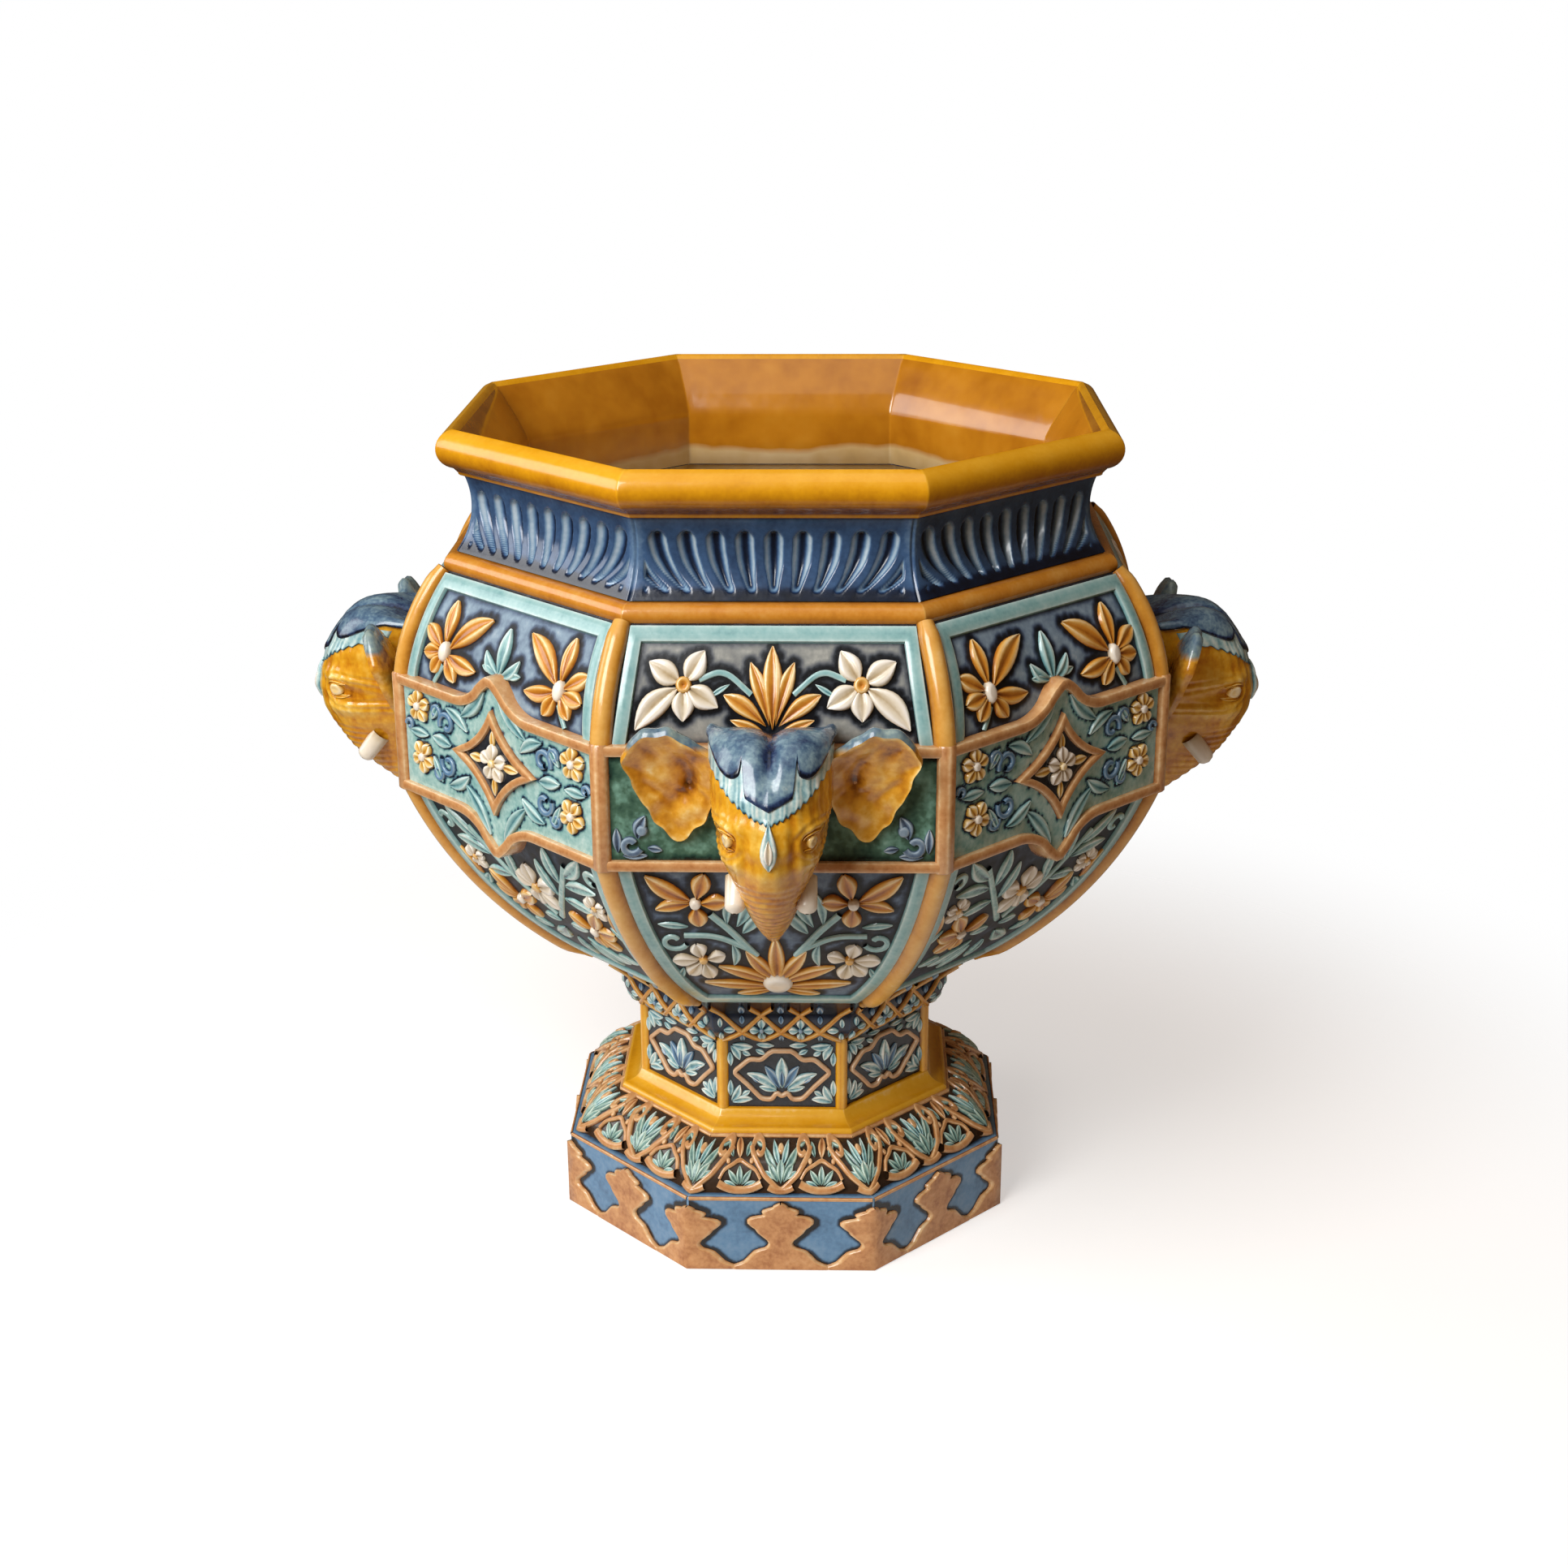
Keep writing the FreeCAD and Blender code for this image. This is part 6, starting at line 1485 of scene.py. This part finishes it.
# %% Corner strips and shields
stem_upright = [(STEM_FACE, CAVETTO_TOP - 1), (STEM_FACE, STEM_TOP + 1)]
stem_wall, stem_corner = Wall(stem_upright), CornerWall(stem_upright)
strip = corner_strip(CAVETTO_TOP, STEM_TOP + 0.6, 4.0, 2.4)
add_relief("stem_corner_strips", stem_corner, [strip], CORNER_TURNS, ochre, "ochre_glaze",
           "stem_corner_strips", sharp=60)
shield_side = [(0, 125.0), (-7.5, 121.8), (-12.5, 116.6), (-19.5, 117.4), (-29.5, 108.4), (-20.5, 99.6),
               (-12.5, 90.4), (-6.0, 90.0), (-3.4, 95.0), (0, 92.0)]
shield_back = [(-x, y) for x, y in shield_side[-2:0:-1]]
shield_line = softened(shield_side + shield_back + shield_side[:2], 2.4, 4)[1:-1]
shield = ribbon(shield_line[:-4], 1.4, 2.4, closed=True)
print("points on the line of a shield:", len(shield_line))

# %% Palmettes and leaves of the stem
# Beige glaze over the warm clay: a dull rose on the frames.
rose = lead_glaze("rose_beige_glaze", [
    (0.0, "#3a1f13"), (0.25, "#9c6f4b"), (0.5, "#cb9d74"), (0.75, "#dfbd96"), (1.0, "#f2dfc4")],
    drift_mm=9.0, drift=0.5)
# Copper glaze brushed on thinly: grey-green leaves.
faded_aqua = lead_glaze("faded_aqua_glaze", [
    (0.0, "#10191b"), (0.25, "#3f605f"), (0.5, "#74988f"), (0.75, "#9bb8ab"), (1.0, "#cbd8c8")],
    drift_mm=9.0, drift=0.7, grain_mm=2.4, grain=0.4)
leaf_middle = [petal((0, 97.5), (0, 118.5), 4.4, 2.4, full=0.5)]
leaf_blue = pair(petal((1.5, 97.5), (10.5, 112.5), 3.2, 2.2, bend=-0.8))
leaf_pale = pair(petal((3, 97), (21.5, 107.5), 3.4, 2.2, bend=-1.4), petal((3, 96), (14, 98.5), 2.2, 1.8),
                 petal((30, 127), (17.5, 125.5), 2.8, 2.0, bend=-1.0),
                 petal((31, 126), (25.5, 116.5), 2.8, 2.0, bend=1.0),
                 petal((31.5, 122), (31, 112.5), 2.2, 1.8), petal((30.5, 88), (18, 90), 2.8, 2.0, bend=1.0),
                 petal((31, 89), (25.5, 99.5), 2.8, 2.0, bend=-1.0),
                 petal((31.5, 92), (31.2, 103), 2.2, 1.8), petal((15.5, 127), (4.5, 126.2), 2.0, 1.8),
                 petal((16, 123.5), (10, 120.5), 1.8, 1.6), petal((24, 122), (19, 119.8), 1.8, 1.6),
                 petal((24.5, 92.5), (19.5, 95.5), 1.8, 1.6))
leaf_inner = [petal((0, 99), (0, 110), 2.0, 3.2)] + pair(petal((13, 101.5), (18.5, 105.5), 1.4, 2.6))
add_relief("stem_cartouches", stem_wall, [shield], ALL_TURNS, rose, "terracotta_glaze", "stem_cartouches")
add_relief("stem_leaves", stem_wall, leaf_pale + leaf_middle, ALL_TURNS, fringe_glaze, "turquoise_glaze")
add_relief("stem_blue_leaves", stem_wall, leaf_blue + leaf_inner, ALL_TURNS, plinth_blue, "cobalt_glaze")

# %% [markdown]
# ### Skirt
#
# The lower edge of the skirt is lobed, with a terracotta roll along it. A large palmette stands in an
# ogee frame at the middle of each flat and on each corner, and a small one under an arch between them.
# The small one is drawn about its own middle line and then moved into its place.

# %% Large palmettes
skirt_wall, skirt_corner = Wall(skirt_curve), CornerWall(skirt_curve)
SMALL_PLACE = 24.6
ogee_half = [(0, 49.3), (-4.5, 53.0), (-10.0, 57.5), (-13.0, 61.8), (-16.4, 66.0), (-17.6, 69.4)]
large_frame = [ribbon(softened(ogee_half[::-1] + [(-x, y) for x, y in ogee_half[1:]], 2.6, 4), 1.6, 2.4)]
large_frame += pair(curl((13.0, 68.6), 4.0, 0, 330, 1.2, 2.0))
large_frame += [ribbon(bow((-7.4, 51.4), (7.4, 51.4), 2.2, 9), 2.0, 3.0, root=1.0),
                bead((0, 68.5), 2.0, 2.4)]
large_pale = [petal((0, 53), (0, 64.5), 3.0, 2.2, full=0.6)]
large_pale += pair(petal((1.5, 54), (7.5, 63.5), 2.5, 2.0), petal((2, 60), (10, 69.5), 2.4, 2.0, bend=0.8),
                   petal((9, 70), (15.5, 71.5), 1.6, 1.6))
large_green = pair(petal((1, 62), (4.5, 71.5), 2.0, 2.0), petal((3, 55.5), (9.5, 59.5), 1.6, 1.8))
print("shapes of a large palmette:", len(large_frame + large_pale + large_green))

# %% Small palmettes
small_arch = [(12.4, 55.4), (9.6, 60.0), (4.0, 62.4), (0.0, 64.6), (-4.0, 62.4), (-9.6, 60.0), (-12.4, 55.4)]
small_frame = [ribbon(bow((-13.0, 53.2), (13.0, 53.2), 3.6, 15), 2.4, 3.2, root=1.2),
               petal((0, 72.0), (0, 65.0), 2.6, 2.0, full=0.4),
               ribbon(softened(small_arch, 2.0, 3), 1.0, 1.9)]
small_frame += pair(bead((7.0, 63.8), 1.4, 1.9))
small_pale = [petal((0, 52.5), (0, 62), 2.3, 2.0)]
small_pale += pair(petal((1, 52.5), (7, 60), 2.0, 1.8), petal((4, 65.5), (6.5, 71), 1.7, 1.6))
small_green = pair(petal((2, 51.5), (9.5, 54.5), 1.7, 1.8))
top_line = ribbon(walked([(-43.0, 72.9), (43.0, 72.9)], 8.0), 0.8, 1.4)
print("shapes of a small palmette:", len(small_frame + small_pale + small_green))

# %% Palmettes on the skirt


def on_skirt(large, small):
    """Patches of a large palmette on each flat and each corner, and of small ones at both sides of a flat."""
    flat = large + pair(*shifted(small, SMALL_PLACE))
    return lay(skirt_wall, flat, ALL_TURNS) + lay(skirt_corner, large, CORNER_TURNS)


skirt_edges = on_skirt(large_frame, small_frame) + lay(skirt_wall, [top_line], ALL_TURNS)
add_piece("skirt_scallops", skirt_edges, terracotta, "ochre_glaze", "skirt_scallops")
add_piece("skirt_pale_leaves", on_skirt(large_pale, small_pale), faded_aqua, "turquoise_glaze")
add_piece("skirt_green_leaves", on_skirt(large_green, small_green), aqua, "turquoise_glaze")

# %% [markdown]
# ### Plinth
#
# A trefoil stands on the middle of each flat and another is folded over each corner. They grow out of one
# band along the floor, which is left in the terracotta's own brown, and a thin line of it runs along the
# upper edge. The blue between them is nearly black beside the trefoils, where the glaze pools, and the
# dark band is moved to the lower right of each trefoil as a painted shadow.

# %% Trefoils
plinth_upright = [(PLINTH_FACE, 0.0), (PLINTH_FACE, PLINTH_TOP)]
plinth_wall, plinth_corner = Wall(plinth_upright), CornerWall(plinth_upright)
valley = PLINTH_FACE * HALF_SIDE / 2
trefoil = [(0.4, valley + 2), (2.2, valley + 2), (3.2, valley - 1.5), (5.0, 22.8), (7.3, 20.6), (9.0, 19.2),
           (10.5, 17.8), (12.0, 16.4), (13.2, 13.9), (14.4, 10.0), (16.0, 8.2), (17.8, 7.6), (20.0, 8.8),
           (22.4, 11.6), (25.0, 14.4), (27.4, 15.8), (29.4, 18.4), (31.4, 20.4), (33.4, 20.4), (35.2, 18.2),
           (36.2, 14.0), (36.6, 11.0), (37.4, 10.4), (38.6, 11.6), (40.0, 11.0), (41.4, 7.4), (42.0, 5.0),
           (43.0, 4.4), (44.2, 2.4), (45.0, 0.4)]
corner_trefoil = [(level * 42.5 / 45.0 if level > 1 else level, half) for level, half in trefoil]
middle_plate, corner_plate = plate(trefoil, 3.0), plate(corner_trefoil, 2.8)
crest_patches = lay(plinth_wall, [middle_plate], ALL_TURNS)
crest_patches += lay(plinth_corner, [corner_plate], CORNER_TURNS)
add_piece("plinth_cresting", crest_patches, terracotta, "terracotta_glaze", "plinth_cresting", sharp=60)

# %% Blue between the trefoils
level = np.linspace(1.0, PLINTH_TOP - 1.8, 60)[:, None]
across = np.linspace(-1, 1, 161)[None, :] * (2 * valley - 0.8)
crests = [middle_plate] + shifted([middle_plate], -2 * valley) + shifted([middle_plate], 2 * valley)
# Dark beside the trefoils where the glaze pools, and moved to their lower right as a painted shadow.
pooled_and_shadowed = smooth_step(0.4, 3.4, clear_of(crests, across - 1.1, level + 0.9))
blue_field = shape(across, level, 0.3, 0.62 * pooled_and_shadowed - 0.1)
edge_line = ribbon(walked([(2 * valley - 0.6, 47.0), (0.6 - 2 * valley, 47.0)], 8.0), 1.1, 0.7)
add_relief("plinth_edge_lines", plinth_wall, [edge_line], ALL_TURNS, terracotta, "terracotta_glaze")
add_relief("plinth_grounds", plinth_wall, [blue_field], ALL_TURNS, plinth_blue, "cobalt_glaze")

# %% [markdown]
# ## Floor, light and camera
#
# The pot stands on pale paper that fades into the white around it. The paper shines a little of its own,
# to the camera and as soft light on the pot, but not in the reflections. A large soft lamp at the front
# left gives the bright left flats and the shaded right ones, a weaker one at the left gives the left
# flats their sheen, and one hangs above. The rest of the room gives a little warm light, as wooden walls
# do. The camera sees white instead of that room. It stands where the photographer stood: about 1.4 m
# away, 20 degrees above the level.

# %% Floor
span = np.linspace(-3.0, 3.0, 9)
floor_x, floor_y = np.meshgrid(span, span)
floor_mesh = bpy.data.meshes.new("floor")
floor_points = np.stack([floor_x, floor_y, np.zeros_like(floor_x)], axis=-1).reshape(-1, 3)
floor_mesh.from_pydata(floor_points.tolist(), [], grid_quads(len(span), len(span)).tolist())
floor = bpy.data.objects.new("floor", floor_mesh)
bpy.context.scene.collection.objects.link(floor)
# Matt paper: a soft shadow and no highlight, with faint clouds of tone about a third of a metre wide.
paper = bpy.data.materials.new("pale_studio_paper")
paper.use_nodes = True
tree = paper.node_tree
place = add_node(tree, "ShaderNodeTexCoord")
fibre = add_node(tree, "ShaderNodeTexNoise", {"Vector": place.outputs["Object"]},
                 {"Scale": 3.0, "Detail": 2.0})
ramp = add_node(tree, "ShaderNodeValToRGB", {"Fac": fibre.outputs["Fac"]})
set_ramp(ramp, [(0.3, "#d6d5d3"), (0.7, "#dad9d7")])
shader = tree.nodes["Principled BSDF"]
tree.links.new(ramp.outputs["Color"], shader.inputs["Base Color"])
shader.inputs["Roughness"].default_value = 0.9
distance = add_node(tree, "ShaderNodeVectorMath", {0: place.outputs["Object"]}, operation="LENGTH")
near = add_node(tree, "ShaderNodeMapRange", {"Value": distance.outputs["Value"]},
                {"From Min": 0.3, "From Max": 0.75, "To Min": 1.0, "To Max": 0.0},
                interpolation_type="SMOOTHSTEP")
tree.links.new(near.outputs["Result"], shader.inputs["Alpha"])
shader.inputs["Emission Color"].default_value = (1.0, 1.0, 1.0, 1.0)
eye = add_node(tree, "ShaderNodeLightPath")
bounce = add_node(tree, "ShaderNodeMath", {0: eye.outputs["Is Diffuse Ray"]}, {1: 0.24},
                  operation="MULTIPLY")
shown = add_node(tree, "ShaderNodeMath", {0: eye.outputs["Is Camera Ray"], 2: bounce.outputs[0]}, {1: 0.5},
                 operation="MULTIPLY_ADD")
tree.links.new(shown.outputs[0], shader.inputs["Emission Strength"])
floor_mesh.materials.append(paper)
print("floor faces:", len(floor_mesh.polygons))

# %% Light of the room
world = bpy.data.worlds.new("studio")
bpy.context.scene.world = world
world.use_nodes = True
tree = world.node_tree
rays = add_node(tree, "ShaderNodeLightPath")
straight = {0: rays.outputs["Is Camera Ray"], 1: rays.outputs["Is Transmission Ray"]}
seen = add_node(tree, "ShaderNodeMath", straight, operation="MAXIMUM")
room = add_node(tree, "ShaderNodeMapRange", {"Value": rays.outputs["Is Glossy Ray"]},
                {"To Min": 0.18, "To Max": 0.06})
strength = add_node(tree, "ShaderNodeMix", {"Factor": seen.outputs[0], "A": room.outputs["Result"]},
                    {"B": 1.0})
tree.links.new(strength.outputs["Result"], tree.nodes["Background"].inputs["Strength"])
tint = add_node(tree, "ShaderNodeMix", {0: seen.outputs[0]}, {6: linear("#ffcda0"), 7: (1.0, 1.0, 1.0, 1.0)},
                data_type="RGBA")
tree.links.new(tint.outputs[2], tree.nodes["Background"].inputs["Color"])
print("nodes for the light of the room:", len(tree.nodes))

# %% Lamps


def add_lamp(name, azimuth, elevation, distance, width, height, power):
    """A rectangular lamp that looks at the middle of the pot from this direction."""
    lamp = bpy.data.lights.new(name, "AREA")
    lamp.shape = "RECTANGLE"
    lamp.size, lamp.size_y = width, height
    lamp.energy = power
    holder = bpy.data.objects.new(name, lamp)
    turn, tilt = math.radians(azimuth), math.radians(elevation)
    holder.location = (distance * math.cos(tilt) * math.sin(turn),
                       -distance * math.cos(tilt) * math.cos(turn), 0.3 + distance * math.sin(tilt))
    holder.rotation_euler = (math.pi / 2 - tilt, 0.0, turn)
    bpy.context.scene.collection.objects.link(holder)


add_lamp("window", -35.0, 36.0, 2.2, 1.2, 1.4, 52.0)
add_lamp("side_window", -92.0, 22.0, 2.4, 1.0, 1.3, 13.0)
add_lamp("ceiling", 0.0, 80.0, 2.2, 2.0, 2.0, 8.0)
print("lamps:", len(bpy.data.lights))

# %% Camera
AIM = (-0.0004, 0.0, 0.2627)
DISTANCE, ELEVATION, AZIMUTH, ROLL = 1.4073, math.radians(19.86), math.radians(1.67), math.radians(-0.31)
FOCAL_PIXELS, PICTURE_PIXELS, SENSOR_WIDTH = 2788.6, 1932, 36.0
camera = bpy.data.cameras.new("camera")
camera.sensor_fit = "HORIZONTAL"
camera.sensor_width = SENSOR_WIDTH
camera.lens = SENSOR_WIDTH * FOCAL_PIXELS / PICTURE_PIXELS
camera.clip_start = 0.05
viewer = bpy.data.objects.new("camera", camera)
ground_distance = DISTANCE * math.cos(ELEVATION)
viewer.location = (AIM[0] + ground_distance * math.sin(AZIMUTH),
                   AIM[1] - ground_distance * math.cos(AZIMUTH), AIM[2] + DISTANCE * math.sin(ELEVATION))
tilt = Matrix.Rotation(AZIMUTH, 4, "Z") @ Matrix.Rotation(math.pi / 2 - ELEVATION, 4, "X")
viewer.rotation_euler = (tilt @ Matrix.Rotation(ROLL, 4, "Z")).to_euler()
bpy.context.scene.collection.objects.link(viewer)
bpy.context.scene.camera = viewer
bpy.context.scene.view_settings.view_transform = "Standard"
print("lens", round(camera.lens, 2), "mm")
